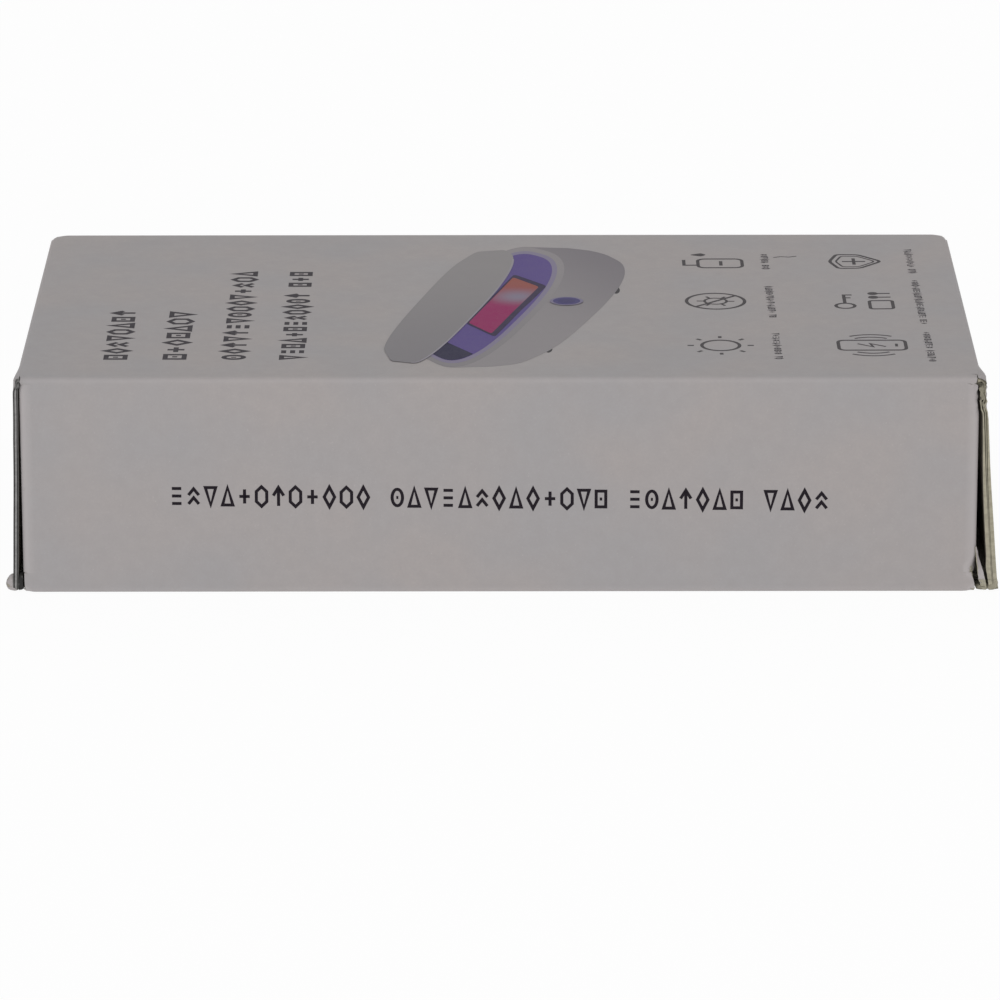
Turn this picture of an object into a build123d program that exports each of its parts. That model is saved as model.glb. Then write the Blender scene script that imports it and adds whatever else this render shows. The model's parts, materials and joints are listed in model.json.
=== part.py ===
from build123d import *
from dataclasses import dataclass
import math
import os

# A retail carton that lies on its largest face, with a phone sanitizer in a moulded tray inside it.
# Millimetres. X runs along the carton, Y from the front panel to the back panel, Z up.
# The origin is under the middle of the whole part, on the surface that the carton lies on.

# ---- carton ------------------------------------------------------------------------------------
# The tube is cut to its contents: see tube_length, tube_depth and tube_height further down.
board = 1.2                 # corrugated board, through both liners
end_room = 12.7             # from the sanitizer to the tube's end
side_room = 9.0             # from the sanitizer to the outside of the front and back panels
head_room = 6.6             # air above the sanitizer
crease_round = 1.8          # outside rounding of the four long folds
crease_run = 1.0            # from a flap's folding axis to the end face of the panel that carries it
layer_gap = 0.3             # air between two layers of board that lie against each other
floor_gap = 0.3             # lowest fold of a closing flap above the surface
glue_flap_height = 14.0     # makers' joint, glued inside the back panel

closing_side_trim = 0.4     # a closing flap is this much narrower than the tube, at each side
dust_length = 42.0          # dust flap, from its fold to its tip
dust_upper_taper = 25.5     # degrees, slope of a dust flap's upper edge
dust_lower_taper = 7.0      # degrees, slope of its lower edge
dust_low = 4.9              # lower edge of a dust flap at its fold, above the surface
dust_tip_round = 6.0        # rounded tip corners
tongue_length = 11.5        # tuck tongue, from the middle of its fold to its tip
tongue_tilt = 14.0          # degrees that the tongue springs up from the bottom panel
tongue_side_trim = 3.6      # a tongue is this much narrower than the tube, at each side
tongue_tip_round = 6.0

left_fold_radius = 1.95     # rolled lower fold of the left closing flap
left_fold_out = left_fold_radius + layer_gap    # middle of that fold, out from the tube's end
left_crease_out = layer_gap + board / 2         # upper folding axis, out from the tube's end
left_flap_foot_out = 1.75                       # middle of the flap's lower edge
left_bow = 0.1                                  # inward bow of the flap at half height
right_fold_radius = 1.2     # the right flap has sprung: a tighter fold that stands further out
right_fold_out = 4.3
right_crease_out = 1.6
right_flap_foot_out = 4.0
right_bow = 0.5

# ---- moulded tray ------------------------------------------------------------------------------
pulp = 2.0                  # wall of the moulded pulp
tray_rim_top = 21.0         # upper face of the tray's rim, above the surface
tray_fit = 0.5              # air around the sanitizer in its pocket
tray_side_gap = 0.4         # air between the rim and the carton
rim_corner_round = 5.0
pull_notch_radius = 13.0    # finger notch in each end of the rim
relief_length = 26.0        # scoop that keeps the tray off the button
relief_reach = 4.0
relief_below = 11.0         # below the rim's upper face

# ---- sanitizer, from the underside of its feet -------------------------------------------------
device_length = 200.0
device_depth = 112.0
device_height = 42.0
plan_round = 46.0           # big corner radius seen from above
foot_height = 1.5
foot_radius = 6.0
split_height = 24.5         # seam between base and lid
seam_gap = 0.4
shell_wall = 2.0
belly_round = 9.0           # lower edge of the base
crown_round = 10.0          # upper edge of the lid
liner_wall = 1.6
liner_fit = 0.2             # air between a liner's rim and its shell
rim_thickness = 2.4         # flat rim of both liners
bay = 12.0                  # from the outside of the shell to the chamber, all round
under_room = 7.2            # for the electronics, between the base's floor and the chamber
lid_recess_depth = 8.0      # above the seam
chamber_floor_round = 3.0
seal_inset = 1.2            # from the chamber's edge to the seal
seal_width = 2.2
seal_groove_depth = 1.2
insert_length = 22.0        # dark insert in the chamber's left end
insert_height = 4.0
insert_fit = 0.3

hinge_offset = 0.5          # pin axis behind the back wall
hinge_spacing = 76.0        # between the two hinges
knuckle_radius = 3.0
knuckle_gap = 0.35          # air around a knuckle, all round
base_knuckle_length = 8.0
lid_knuckle_length = 12.0
pin_radius = 1.0
pin_fit = 0.08

button_radius = 4.2
button_rim_gap = 0.5        # from the button's flange up to the chamber liner's rim
button_proud = 0.8
button_travel = 0.6
button_fit = 0.2
button_flange_radius = 5.4
button_flange_thickness = 0.8
button_stem_radius = 1.6
button_stem_room = 1.6      # from the pressed flange to the switch's plunger
ring_width = 1.2            # light ring around the button
ring_depth = 1.0

screw_radius = 1.25
screw_head_radius = 2.6
screw_head_height = 1.6
screw_fit = 0.1
screw_end_inset = 26.0      # from the chamber's end
screw_side_inset = 14.0     # from the chamber's side
post_radius = 3.6
base_post_height = 2.5      # from the base's floor
lid_screw_x = 50.0
lid_screw_length = 7.0

circuit = 1.2               # thickness of every circuit board
main_board_length = 48.0
main_board_width = 46.0
main_board_x = -38.0        # middle of the main board
standoff_height = 1.5
standoff_radius = 2.4
standoff_inset = 4.0
chip_height = 1.4
controller_size = 9.0
inductor_size = 7.0
driver_size = 5.5
connector_length = 12.0
resistor_size = 1.6
resistor_pitch = 3.8
connector_inset = 5.8       # middle of the board connector, in from the board's end
coil_x = 22.0
coil_radius = 25.0
coil_bore = 10.0
coil_thickness = 1.2
coil_turns = 10
ferrite_size = 54.0
ferrite_thickness = 1.2
carrier_thickness = 1.4
window_radius = 8.0
window_thickness = 1.0
window_fit = 0.1
window_ledge = 2.0
led_board_radius = 10.0
led_size = 3.5
led_height = 1.0
base_led_end_inset = 17.0   # from the chamber's right end
lid_led_spacing = 84.0
button_board_length = 44.0
switch_size = 6.0
switch_depth = 3.4          # with its plunger
plunger_length = 0.8
usb_width = 9.0
usb_height = 3.2
usb_length = 7.4
usb_fit = 0.2
usb_wall = 0.35             # sheet metal of the socket
usb_back = 0.6              # closed end of the socket
usb_blade_thickness = 0.7   # contact blade in its mouth
usb_blade_gap = 0.8         # beside the blade
usb_level = 14.0            # middle of the socket
magnet_size = 8.0
magnet_x = 16.0

# ---- sizes and places worked out from those ----------------------------------------------------
tube_length = device_length + 2 * end_room          # from fold to fold
tube_depth = device_depth + 2 * side_room           # outside
tube_height = 2 * board + pulp + device_height + head_room
left_reach = left_fold_out + left_fold_radius       # furthest point past the tube's left end
right_reach = right_fold_out + right_fold_radius
tube_middle = (left_reach - right_reach) / 2        # keeps the origin under the middle of the part
inner_half_depth = tube_depth / 2 - board
closing_width = tube_depth - 2 * closing_side_trim
tray_floor_top = board + pulp
shell_low = foot_height
base_floor = shell_low + shell_wall
base_top = split_height - seam_gap / 2
lid_low = split_height + seam_gap / 2
lid_inner_top = device_height - shell_wall
chamber_length = device_length - 2 * bay
chamber_width = device_depth - 2 * bay
chamber_round = plan_round - bay
chamber_underside = base_floor + under_room
chamber_floor = chamber_underside + liner_wall
screw_x = chamber_length / 2 - screw_end_inset
screw_y = chamber_width / 2 - screw_side_inset
base_led_x = chamber_length / 2 - base_led_end_inset
button_height = base_top - rim_thickness - button_flange_radius - button_rim_gap
lid_ceiling = lid_low + lid_recess_depth
front_face = -device_depth / 2
hinge_y = device_depth / 2 + hinge_offset
coil_low = chamber_underside - coil_thickness
ferrite_low = coil_low - ferrite_thickness
carrier_low = ferrite_low - carrier_thickness
main_board_low = base_floor + standoff_height
base_led_board_top = chamber_underside - led_height + window_thickness / 2
lid_led_board_low = lid_ceiling + liner_wall + led_height - window_thickness / 2
switch_front = front_face + shell_wall + button_flange_thickness + button_travel + button_stem_room
button_board_front = switch_front + switch_depth
button_board_low = base_floor + liner_fit
button_board_top = base_top - rim_thickness - liner_fit
ring_radius = button_radius + button_fit + ring_width
device_place = Pos(tube_middle, 0, tray_floor_top)


@dataclass(frozen=True)
class End:
    """One end of the carton; distances run outward from the end of the tube."""
    side: int                # -1 left, +1 right
    crease_out: float
    foot_out: float
    fold_out: float
    fold_radius: float
    bow: float

    @property
    def fold_height(self):
        return floor_gap + self.fold_radius

    @property
    def crease_height(self):
        return tube_height - board / 2

    def x(self, outward):
        return tube_middle + self.side * (tube_length / 2 + outward)

    def plane(self):
        """Upright plane along X: local x runs outward, local y up."""
        return Plane(origin=(self.x(0), 0, 0), x_dir=(self.side, 0, 0), z_dir=(0, -self.side, 0))


LEFT = End(-1, left_crease_out, left_flap_foot_out, left_fold_out, left_fold_radius, left_bow)
RIGHT = End(1, right_crease_out, right_flap_foot_out, right_fold_out, right_fold_radius, right_bow)
NAMES = {LEFT: "left", RIGHT: "right"}
parts = {}


# ---- carton ------------------------------------------------------------------------------------
def tube_wall(outline, x_from, x_to):
    """Piece of the tube's wall inside a polygon of (y, z) points, from one x to another."""
    outside = RectangleRounded(tube_depth, tube_height, crease_round)
    inside = RectangleRounded(tube_depth - 2 * board, tube_height - 2 * board, crease_round - board)
    ring = Pos(0, tube_height / 2) * (outside - inside)
    section = ring & make_face(Polyline(*outline, close=True))
    return extrude(Plane.YZ.offset(x_from) * section, x_to - x_from)


def tube_panels():
    """Four panels, parted at 45 degrees in the middle of each long fold."""
    y, z, w = tube_depth / 2, tube_height, 4 * board
    fold = board / 2 + crease_run
    upright_from, upright_to = LEFT.x(-fold), RIGHT.x(-fold)
    top_from, top_to = LEFT.x(LEFT.crease_out - crease_run), RIGHT.x(RIGHT.crease_out - crease_run)
    parts["top_panel"] = tube_wall([(-y, z), (y, z), (y - w, z - w), (w - y, z - w)], top_from, top_to)
    parts["bottom_panel"] = tube_wall([(-y, 0), (y, 0), (y - w, w), (w - y, w)], LEFT.x(0), RIGHT.x(0))
    front = [(-y, 0), (-y, z), (w - y, z - w), (w - y, w)]
    parts["front_panel"] = tube_wall(front, upright_from, upright_to)
    parts["back_panel"] = tube_wall([(-cy, cz) for cy, cz in front], upright_from, upright_to)
    glue_end_trim = 3 * board
    strip = Box(tube_length - 2 * (fold + glue_end_trim), board, glue_flap_height,
                align=(Align.CENTER, Align.MAX, Align.MIN))
    parts["glue_flap"] = Pos(tube_middle, inner_half_depth, crease_round) * strip


def closing_flap(end):
    """Flap that hangs from the top panel's end, with a rounded root on its folding axis."""
    top = Vector(end.crease_out, end.crease_height)
    foot = Vector(end.foot_out, end.fold_height + end.fold_radius + layer_gap)
    middle = (top + foot) / 2 - Vector(end.bow, 0)
    half = Vector(board / 2, 0)
    outer = ThreePointArc(top + half, middle + half, foot + half)
    inner = ThreePointArc(foot - half, middle - half, top - half)
    sheet = make_face([outer, Line(foot + half, foot - half), inner, Line(top - half, top + half)])
    sheet += Pos(top.X, top.Y) * Circle(board / 2)
    return extrude(end.plane() * sheet, closing_width / 2, both=True)


def tuck_tongue(end):
    """Rolled lower fold of a closing flap, with the tongue that tucks in above the bottom panel."""
    roll = Pos(end.fold_out, end.fold_height) * Circle(end.fold_radius)
    roll = extrude(end.plane() * roll, closing_width / 2, both=True)
    tilt = math.radians(tongue_tilt)
    along = (-end.side * math.cos(tilt), 0, math.sin(tilt))
    upward = (end.side * math.sin(tilt), 0, math.cos(tilt))
    width = tube_depth - 2 * tongue_side_trim
    leaf = Rectangle(tongue_length, width, align=(Align.MIN, Align.CENTER))
    leaf = fillet(leaf.vertices().group_by(Axis.X)[-1], tongue_tip_round)
    root = Plane(origin=(end.x(end.fold_out), 0, end.fold_height), x_dir=along, z_dir=upward)
    return roll + extrude(root * leaf, board / 2, both=True)


def dust_flap(end, row):
    """Flap folded in from the front panel (row -1) or the back panel (row +1)."""
    top = tube_height - board - layer_gap
    upper = math.tan(math.radians(dust_upper_taper)) * dust_length
    lower = math.tan(math.radians(dust_lower_taper)) * dust_length
    outline = [(0, dust_low), (0, top), (dust_length, top - upper), (dust_length, dust_low + lower)]
    leaf = make_face(Polyline(*outline, close=True))
    leaf = fillet(leaf.vertices().group_by(Axis.X)[-1], dust_tip_round)
    axis_x, axis_y = end.x(-board / 2), row * (tube_depth / 2 - board / 2)
    plane = Plane(origin=(axis_x, axis_y, 0), x_dir=(0, -row, 0), z_dir=(-row, 0, 0))
    root = Pos(axis_x, axis_y, dust_low) * Cylinder(board / 2, top - dust_low,
                                                    align=(Align.CENTER, Align.CENTER, Align.MIN))
    return extrude(plane * leaf, board / 2, both=True) + root


# ---- helpers -----------------------------------------------------------------------------------
def slab(length, width, corner, low, high, low_round=0.0, high_round=0.0):
    """Upright block with rounded plan corners and, where asked, rounded lower or upper edges."""
    block = extrude(Plane.XY.offset(low) * RectangleRounded(length, width, corner), high - low)
    if low_round:
        block = fillet(block.edges().group_by(Axis.Z)[0], low_round)
    if high_round:
        block = fillet(block.edges().group_by(Axis.Z)[-1], high_round)
    return block


def peg(x, y, low, high, radius):
    """Upright cylinder between two heights."""
    return Pos(x, y, low) * Cylinder(radius, high - low, align=(Align.CENTER, Align.CENTER, Align.MIN))


def plate(x, y, low, length, width, thickness):
    """Flat rectangular plate whose lower face is at a height."""
    return Pos(x, y, low) * Box(length, width, thickness, align=(Align.CENTER, Align.CENTER, Align.MIN))


def front_rod(radius, y_from, y_to):
    """Cylinder along Y on the button's axis."""
    rod = Cylinder(radius, y_to - y_from, align=(Align.CENTER, Align.CENTER, Align.MIN))
    return Pos(0, y_from, button_height) * Rot(-90, 0, 0) * rod


def hinge_rod(x, length, radius):
    """Cylinder along X on the lid's hinge axis."""
    return Pos(x, hinge_y, split_height) * Rot(0, 90, 0) * Cylinder(radius, length)


def corners(x, y):
    """The four places at plus and minus x and y."""
    return [(sx * x, sy * y) for sx in (-1, 1) for sy in (-1, 1)]


# ---- tray --------------------------------------------------------------------------------------
def pulp_tray():
    """Pocket that follows the sanitizer's belly, hung from a flat rim that reaches the carton."""
    floor, rim_low = board, tray_rim_top - pulp
    pocket_length, pocket_width = device_length + 2 * tray_fit, device_depth + 2 * tray_fit
    pocket_round = plan_round + tray_fit
    outer = slab(pocket_length + 2 * pulp, pocket_width + 2 * pulp, pocket_round + pulp,
                 floor, tray_rim_top, low_round=belly_round + pulp)
    rim_half = tube_length / 2 - board - tray_side_gap
    rim = slab(2 * rim_half, 2 * (inner_half_depth - tray_side_gap), rim_corner_round, rim_low, tray_rim_top)
    for side in (-1, 1):
        rim -= peg(side * (rim_half + pull_notch_radius / 2), 0, rim_low, tray_rim_top, pull_notch_radius)
    pocket = slab(pocket_length, pocket_width, pocket_round, tray_floor_top, tray_rim_top,
                  low_round=belly_round)
    relief_low, relief_round = tray_rim_top - relief_below, relief_reach - tray_fit
    scoop = slab(relief_length, 2 * relief_reach, relief_round, relief_low, tray_rim_top)
    around = slab(relief_length + 2 * pulp, 2 * (relief_reach + pulp), relief_round + pulp,
                  relief_low - pulp, tray_rim_top)
    at_button = Pos(0, front_face, 0)
    return Pos(tube_middle, 0, 0) * (outer + rim + at_button * around - at_button * scoop - pocket)


# ---- sanitizer base ----------------------------------------------------------------------------
def main_board_corners():
    """Standoff places under the main board."""
    inset_x, inset_y = main_board_length / 2 - standoff_inset, main_board_width / 2 - standoff_inset
    return [(main_board_x + x, y) for x, y in corners(inset_x, inset_y)]


def base_knuckle_places():
    """Middles of the base's four hinge knuckles."""
    reach = (lid_knuckle_length + base_knuckle_length) / 2 + knuckle_gap
    return [side * hinge_spacing / 2 + step * reach for side in (-1, 1) for step in (-1, 1)]


def lid_knuckle_places():
    """Middles of the lid's two hinge knuckles."""
    return [side * hinge_spacing / 2 for side in (-1, 1)]


def hinge_clearances():
    """Rods that clear both whole hinges out of a liner's rim."""
    length = lid_knuckle_length + 2 * base_knuckle_length + 4 * knuckle_gap
    rods = [hinge_rod(x, length, knuckle_radius + knuckle_gap) for x in lid_knuckle_places()]
    return Compound(children=rods)


def base_shell():
    """Outer shell of the base, with its posts, hinge knuckles, button bore and socket slot."""
    shell = slab(device_length, device_depth, plan_round, shell_low, base_top, low_round=belly_round)
    shell -= slab(device_length - 2 * shell_wall, device_depth - 2 * shell_wall, plan_round - shell_wall,
                  base_floor, base_top + shell_wall, low_round=belly_round - shell_wall)
    for x, y in corners(screw_x, screw_y):
        shell += peg(x, y, base_floor, base_floor + base_post_height, post_radius)
        shell -= peg(x, y, shell_low, base_floor + base_post_height, screw_radius + screw_fit)
        shell -= peg(x, y, shell_low, shell_low + screw_head_height, screw_head_radius + screw_fit)
    for x, y in main_board_corners():
        shell += peg(x, y, base_floor, main_board_low, standoff_radius)
    shell += peg(base_led_x, 0, base_floor, base_led_board_top - circuit, post_radius)
    shelf_x = -device_length / 2 + shell_wall + usb_length / 2
    shelf_low = usb_level - usb_height / 2 - circuit
    shell += plate(shelf_x, 0, base_floor, shell_wall, usb_width, shelf_low - base_floor)
    shell -= Pos(-device_length / 2, 0, usb_level) * Box(
        4 * shell_wall, usb_width + 2 * usb_fit, usb_height + 2 * usb_fit)
    shell -= front_rod(button_radius + button_fit, front_face, front_face + shell_wall)
    shell -= front_rod(ring_radius, front_face, front_face + ring_depth)
    for x in lid_knuckle_places():
        shell -= hinge_rod(x, lid_knuckle_length + 2 * knuckle_gap, knuckle_radius + knuckle_gap)
    for x in base_knuckle_places():
        shell += hinge_rod(x, base_knuckle_length, knuckle_radius)
        shell -= hinge_rod(x, base_knuckle_length, pin_radius + pin_fit)
    return shell


def chamber_liner():
    """Open tray that the phone lies in; its rim closes the base."""
    rim_length = device_length - 2 * (shell_wall + liner_fit)
    rim_width = device_depth - 2 * (shell_wall + liner_fit)
    liner = slab(rim_length, rim_width, plan_round - shell_wall - liner_fit,
                 base_top - rim_thickness, base_top)
    liner += slab(chamber_length + 2 * liner_wall, chamber_width + 2 * liner_wall,
                  chamber_round + liner_wall, chamber_underside, base_top,
                  low_round=chamber_floor_round + liner_wall)
    liner -= slab(chamber_length, chamber_width, chamber_round, chamber_floor, base_top,
                  low_round=chamber_floor_round)
    for x, y in corners(screw_x, screw_y):
        post_low = base_floor + base_post_height
        liner += peg(x, y, post_low, chamber_underside, post_radius)
        liner -= peg(x, y, post_low, chamber_underside, screw_radius + screw_fit)
    liner -= peg(base_led_x, 0, chamber_underside, chamber_floor, window_radius - window_ledge)
    liner -= peg(base_led_x, 0, chamber_floor - window_thickness, chamber_floor, window_radius + window_fit)
    return liner - hinge_clearances()


def end_insert():
    """Dark lift-out insert that fills the chamber's left end."""
    block = slab(chamber_length - 2 * insert_fit, chamber_width - 2 * insert_fit, chamber_round - insert_fit,
                 chamber_floor, chamber_floor + insert_height, low_round=chamber_floor_round)
    keep = Pos(-chamber_length / 2, 0, chamber_floor) * Box(
        2 * insert_length, chamber_width, 2 * insert_height)
    block = block & keep
    return fillet(block.edges().group_by(Axis.Z)[-1], insert_height / 5)


def screw(x, y, low, length, radius):
    """Pan-head screw, head down, with a cross slot."""
    body = peg(x, y, low, low + screw_head_height, screw_head_radius)
    body += peg(x, y, low, low + length, radius)
    slot_width = screw_head_height / 3
    slot_depth = screw_head_height / 2
    for turn in (0, 90):
        blade = Box(2 * screw_radius, slot_width, 2 * slot_depth)
        body -= Pos(x, y, low) * Rot(0, 0, turn) * blade
    return body


def base_screws():
    """Four screws from below, through the base into the chamber liner's bosses."""
    tip = chamber_underside - screw_fit
    return [screw(x, y, shell_low, tip - shell_low, screw_radius) for x, y in corners(screw_x, screw_y)]


def rubber_feet():
    """Four soft discs that cover the screws."""
    feet = [peg(x, y, 0, foot_height, foot_radius) for x, y in corners(screw_x, screw_y)]
    return [fillet(foot.edges().group_by(Axis.Z)[0], foot_height / 3) for foot in feet]


def charging_coil():
    """Flat wound coil against the underside of the chamber's floor."""
    pitch = (coil_radius - coil_bore) / coil_turns
    coil = peg(coil_x, 0, coil_low, chamber_underside, coil_radius)
    coil -= peg(coil_x, 0, coil_low, chamber_underside, coil_bore)
    groove_top = coil_low + coil_thickness / 3
    for turn in range(1, coil_turns):
        middle = coil_bore + turn * pitch
        groove = peg(coil_x, 0, coil_low, groove_top, middle + pitch / 6)
        coil -= groove - peg(coil_x, 0, coil_low, groove_top, middle - pitch / 6)
    return coil


def ferrite_plate():
    """Thin square plate behind the coil."""
    return Pos(coil_x, 0, 0) * slab(ferrite_size, ferrite_size, ferrite_size / 12, ferrite_low, coil_low)


def coil_carrier():
    """Plastic carrier that holds coil and ferrite up from the base's floor."""
    size = ferrite_size + 2 * liner_wall
    carrier = slab(size, size, size / 12, carrier_low, ferrite_low)
    for x, y in corners(size / 2 - standoff_radius, size / 2 - standoff_radius):
        carrier += peg(x, y, base_floor, ferrite_low, standoff_radius)
    carrier -= peg(0, 0, carrier_low, ferrite_low, coil_bore)
    return Pos(coil_x, 0, 0) * carrier


def main_board():
    """Control and charging circuit board."""
    return Pos(main_board_x, 0, 0) * slab(
        main_board_length, main_board_width, circuit, main_board_low, main_board_low + circuit)


def main_board_chips():
    """Packages soldered on the main board: controller, two coils, power stage and connectors."""
    top, length, width = main_board_low + circuit, main_board_length, main_board_width
    connector_x = main_board_x + length / 2 - connector_inset
    chips = [plate(main_board_x - length / 5, 0, top, controller_size, controller_size, chip_height),
             plate(main_board_x, -width / 3, top, driver_size, driver_size, chip_height),
             plate(connector_x, 0, top, connector_length / 3, connector_length, 2 * chip_height)]
    for row in (-1, 1):
        chips.append(plate(main_board_x + length / 6, row * width / 4, top, inductor_size, inductor_size,
                           2 * chip_height))
    for step in range(5):
        x = main_board_x - length / 4 + step * resistor_pitch
        chips.append(plate(x, width / 3, top, resistor_size, resistor_size / 2, chip_height / 2))
    return chips


def base_led_board():
    """Round board under the window in the chamber's floor."""
    return peg(base_led_x, 0, base_led_board_top - circuit, base_led_board_top, led_board_radius)


def base_uv_led():
    """UV-C emitter on its round board."""
    return plate(base_led_x, 0, base_led_board_top, led_size, led_size, led_height)


def base_window():
    """Clear disc flush with the chamber's floor."""
    return peg(base_led_x, 0, chamber_floor - window_thickness, chamber_floor, window_radius)


def button_board():
    """Upright board behind the front wall, carried by the base's floor."""
    return plate(0, button_board_front + circuit / 2, button_board_low, button_board_length, circuit,
                 button_board_top - button_board_low)


def button_switch():
    """Tact switch with a round plunger that faces the button."""
    body_depth = switch_depth - plunger_length
    body = Pos(0, button_board_front - body_depth / 2, button_height) * Box(switch_size, body_depth, switch_size)
    return body + front_rod(button_stem_radius, switch_front, button_board_front - body_depth)


def ring_leds():
    """Two white diodes that light the ring."""
    places = [side * (switch_size / 2 + led_size / 2 + 1) for side in (-1, 1)]
    return [Pos(x, button_board_front - led_height / 2, button_height) * Box(led_size, led_height, led_size)
            for x in places]


def button_cap():
    """Round cap with a retaining flange and a stem that reaches the switch."""
    inside = front_face + shell_wall
    cap = front_rod(button_radius, front_face - button_proud, inside + button_flange_thickness / 2)
    cap = fillet(cap.edges().group_by(Axis.Y)[0], button_proud * 0.6)
    flange_from = inside + button_fit
    cap += front_rod(button_flange_radius, flange_from, flange_from + button_flange_thickness)
    cap += front_rod(button_stem_radius, inside, switch_front - button_travel - button_fit)
    return cap


def light_ring():
    """Translucent ring let into the front wall around the button."""
    ring = front_rod(ring_radius, front_face, front_face + ring_depth)
    return ring - front_rod(button_radius + button_fit, front_face, front_face + ring_depth)


def usb_board():
    """Small board on the shelf at the left end."""
    x = -device_length / 2 + shell_wall + usb_length / 2
    return plate(x, 0, usb_level - usb_height / 2 - circuit, usb_length - 1, 2 * usb_width, circuit)


def usb_socket():
    """Charging socket, open to the left."""
    inner_width, inner_height = usb_width - 2 * usb_wall, usb_height - 2 * usb_wall
    shell = slab(usb_width, usb_height, 0.48 * usb_height, 0, usb_length)
    shell -= slab(inner_width, inner_height, 0.48 * inner_height, usb_back, usb_length)
    shell += plate(0, 0, 0, inner_width - 2 * usb_blade_gap, usb_blade_thickness, usb_length - 1)
    back = -device_length / 2 + shell_wall / 2 + usb_length
    return Plane(origin=(back, 0, usb_level), x_dir=(0, 1, 0), z_dir=(-1, 0, 0)) * shell


def lid_sensor():
    """Reed sensor on the button board that feels the lid's magnet."""
    size = magnet_size / 4
    return Pos(magnet_x, button_board_front - size / 2, button_board_top - size) * Box(3 * size, size, size)


def hinge_pin(side):
    """Steel pin through one hinge."""
    length = lid_knuckle_length + 2 * base_knuckle_length + 2 * knuckle_gap
    pin = hinge_rod(side * hinge_spacing / 2, length, pin_radius)
    return chamfer(pin.edges(), pin_radius / 4)


# ---- sanitizer lid -----------------------------------------------------------------------------
def lid_screw_places():
    """Screw places in the lid's rim."""
    return corners(lid_screw_x, device_depth / 2 - shell_wall * 0.8 - post_radius)


def lid_shell():
    """Crowned outer shell of the lid."""
    shell = slab(device_length, device_depth, plan_round, lid_low, device_height, high_round=crown_round)
    shell -= slab(device_length - 2 * shell_wall, device_depth - 2 * shell_wall, plan_round - shell_wall,
                  lid_low - shell_wall, lid_inner_top, high_round=crown_round - shell_wall)
    post_top = device_height - shell_wall - crown_round / 5
    for x, y in lid_screw_places():
        shell += peg(x, y, lid_low + rim_thickness, post_top, post_radius)
        shell -= peg(x, y, lid_low, lid_low + lid_screw_length + screw_fit, screw_radius + screw_fit)
    for x in (-lid_led_spacing / 2, lid_led_spacing / 2):
        shell += peg(x, 0, lid_led_board_low + circuit, lid_inner_top, post_radius)
    for x in base_knuckle_places():
        shell -= hinge_rod(x, base_knuckle_length + 2 * knuckle_gap, knuckle_radius + knuckle_gap)
    for x in lid_knuckle_places():
        shell += hinge_rod(x, lid_knuckle_length, knuckle_radius)
        shell -= hinge_rod(x, lid_knuckle_length, pin_radius + pin_fit)
    return shell


def seal_slab(outset, low, high):
    """Solid outline of the chamber, widened by an outset."""
    return slab(chamber_length + 2 * outset, chamber_width + 2 * outset, chamber_round + outset, low, high)


def lid_liner():
    """Inner face of the lid, with the recess over the chamber and the seal's groove."""
    rim_length = device_length - 2 * (shell_wall + liner_fit)
    rim_width = device_depth - 2 * (shell_wall + liner_fit)
    liner = slab(rim_length, rim_width, plan_round - shell_wall - liner_fit, lid_low, lid_low + rim_thickness)
    liner += slab(chamber_length + 2 * liner_wall, chamber_width + 2 * liner_wall,
                  chamber_round + liner_wall, lid_low, lid_ceiling + liner_wall,
                  high_round=chamber_floor_round + liner_wall)
    liner -= slab(chamber_length, chamber_width, chamber_round, lid_low, lid_ceiling,
                  high_round=chamber_floor_round)
    groove_top = lid_low + seal_groove_depth
    groove = seal_slab(seal_inset + seal_width, lid_low, groove_top) - seal_slab(seal_inset, lid_low, groove_top)
    liner -= groove
    for x, y in lid_screw_places():
        liner -= peg(x, y, lid_low, lid_low + rim_thickness, screw_radius + screw_fit)
        liner -= peg(x, y, lid_low, lid_low + screw_head_height, screw_head_radius + screw_fit)
    for x in (-lid_led_spacing / 2, lid_led_spacing / 2):
        liner -= peg(x, 0, lid_ceiling, lid_ceiling + liner_wall, window_radius - window_ledge)
        liner -= peg(x, 0, lid_ceiling, lid_ceiling + window_thickness, window_radius + window_fit)
    return liner - hinge_clearances()


def lid_seal():
    """Soft loop around the chamber, seated in the lid liner's groove."""
    low, high = lid_low - seam_gap / 2, lid_low + seal_groove_depth
    loop = seal_slab(seal_inset + seal_width - liner_fit / 2, low, high)
    return loop - seal_slab(seal_inset + liner_fit / 2, low, high)


def lid_screws():
    """Four screws up through the lid liner's rim into the lid shell."""
    return [screw(x, y, lid_low, lid_screw_length, screw_radius) for x, y in lid_screw_places()]


def lid_led_boards():
    """Two round boards above the lid's windows."""
    return [peg(x, 0, lid_led_board_low, lid_led_board_low + circuit, led_board_radius)
            for x in (-lid_led_spacing / 2, lid_led_spacing / 2)]


def lid_uv_leds():
    """UV-C emitters that face down through the lid's windows."""
    return [plate(x, 0, lid_led_board_low - led_height, led_size, led_size, led_height)
            for x in (-lid_led_spacing / 2, lid_led_spacing / 2)]


def lid_windows():
    """Clear discs flush with the lid recess's ceiling."""
    return [peg(x, 0, lid_ceiling, lid_ceiling + window_thickness, window_radius)
            for x in (-lid_led_spacing / 2, lid_led_spacing / 2)]


def lid_magnet():
    """Small magnet on the lid liner's rim, above the reed sensor."""
    y = -(chamber_width + device_depth) / 4
    return plate(magnet_x, y, lid_low + rim_thickness, magnet_size, magnet_size / 2, magnet_size / 3)


# ---- assembly ----------------------------------------------------------------------------------
tube_panels()
for carton_end, name in NAMES.items():
    parts[f"closing_flap_{name}"] = closing_flap(carton_end)
    parts[f"tuck_tongue_{name}"] = tuck_tongue(carton_end)
    parts[f"dust_flap_front_{name}"] = dust_flap(carton_end, -1)
    parts[f"dust_flap_back_{name}"] = dust_flap(carton_end, 1)
parts["pulp_tray"] = pulp_tray()

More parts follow.
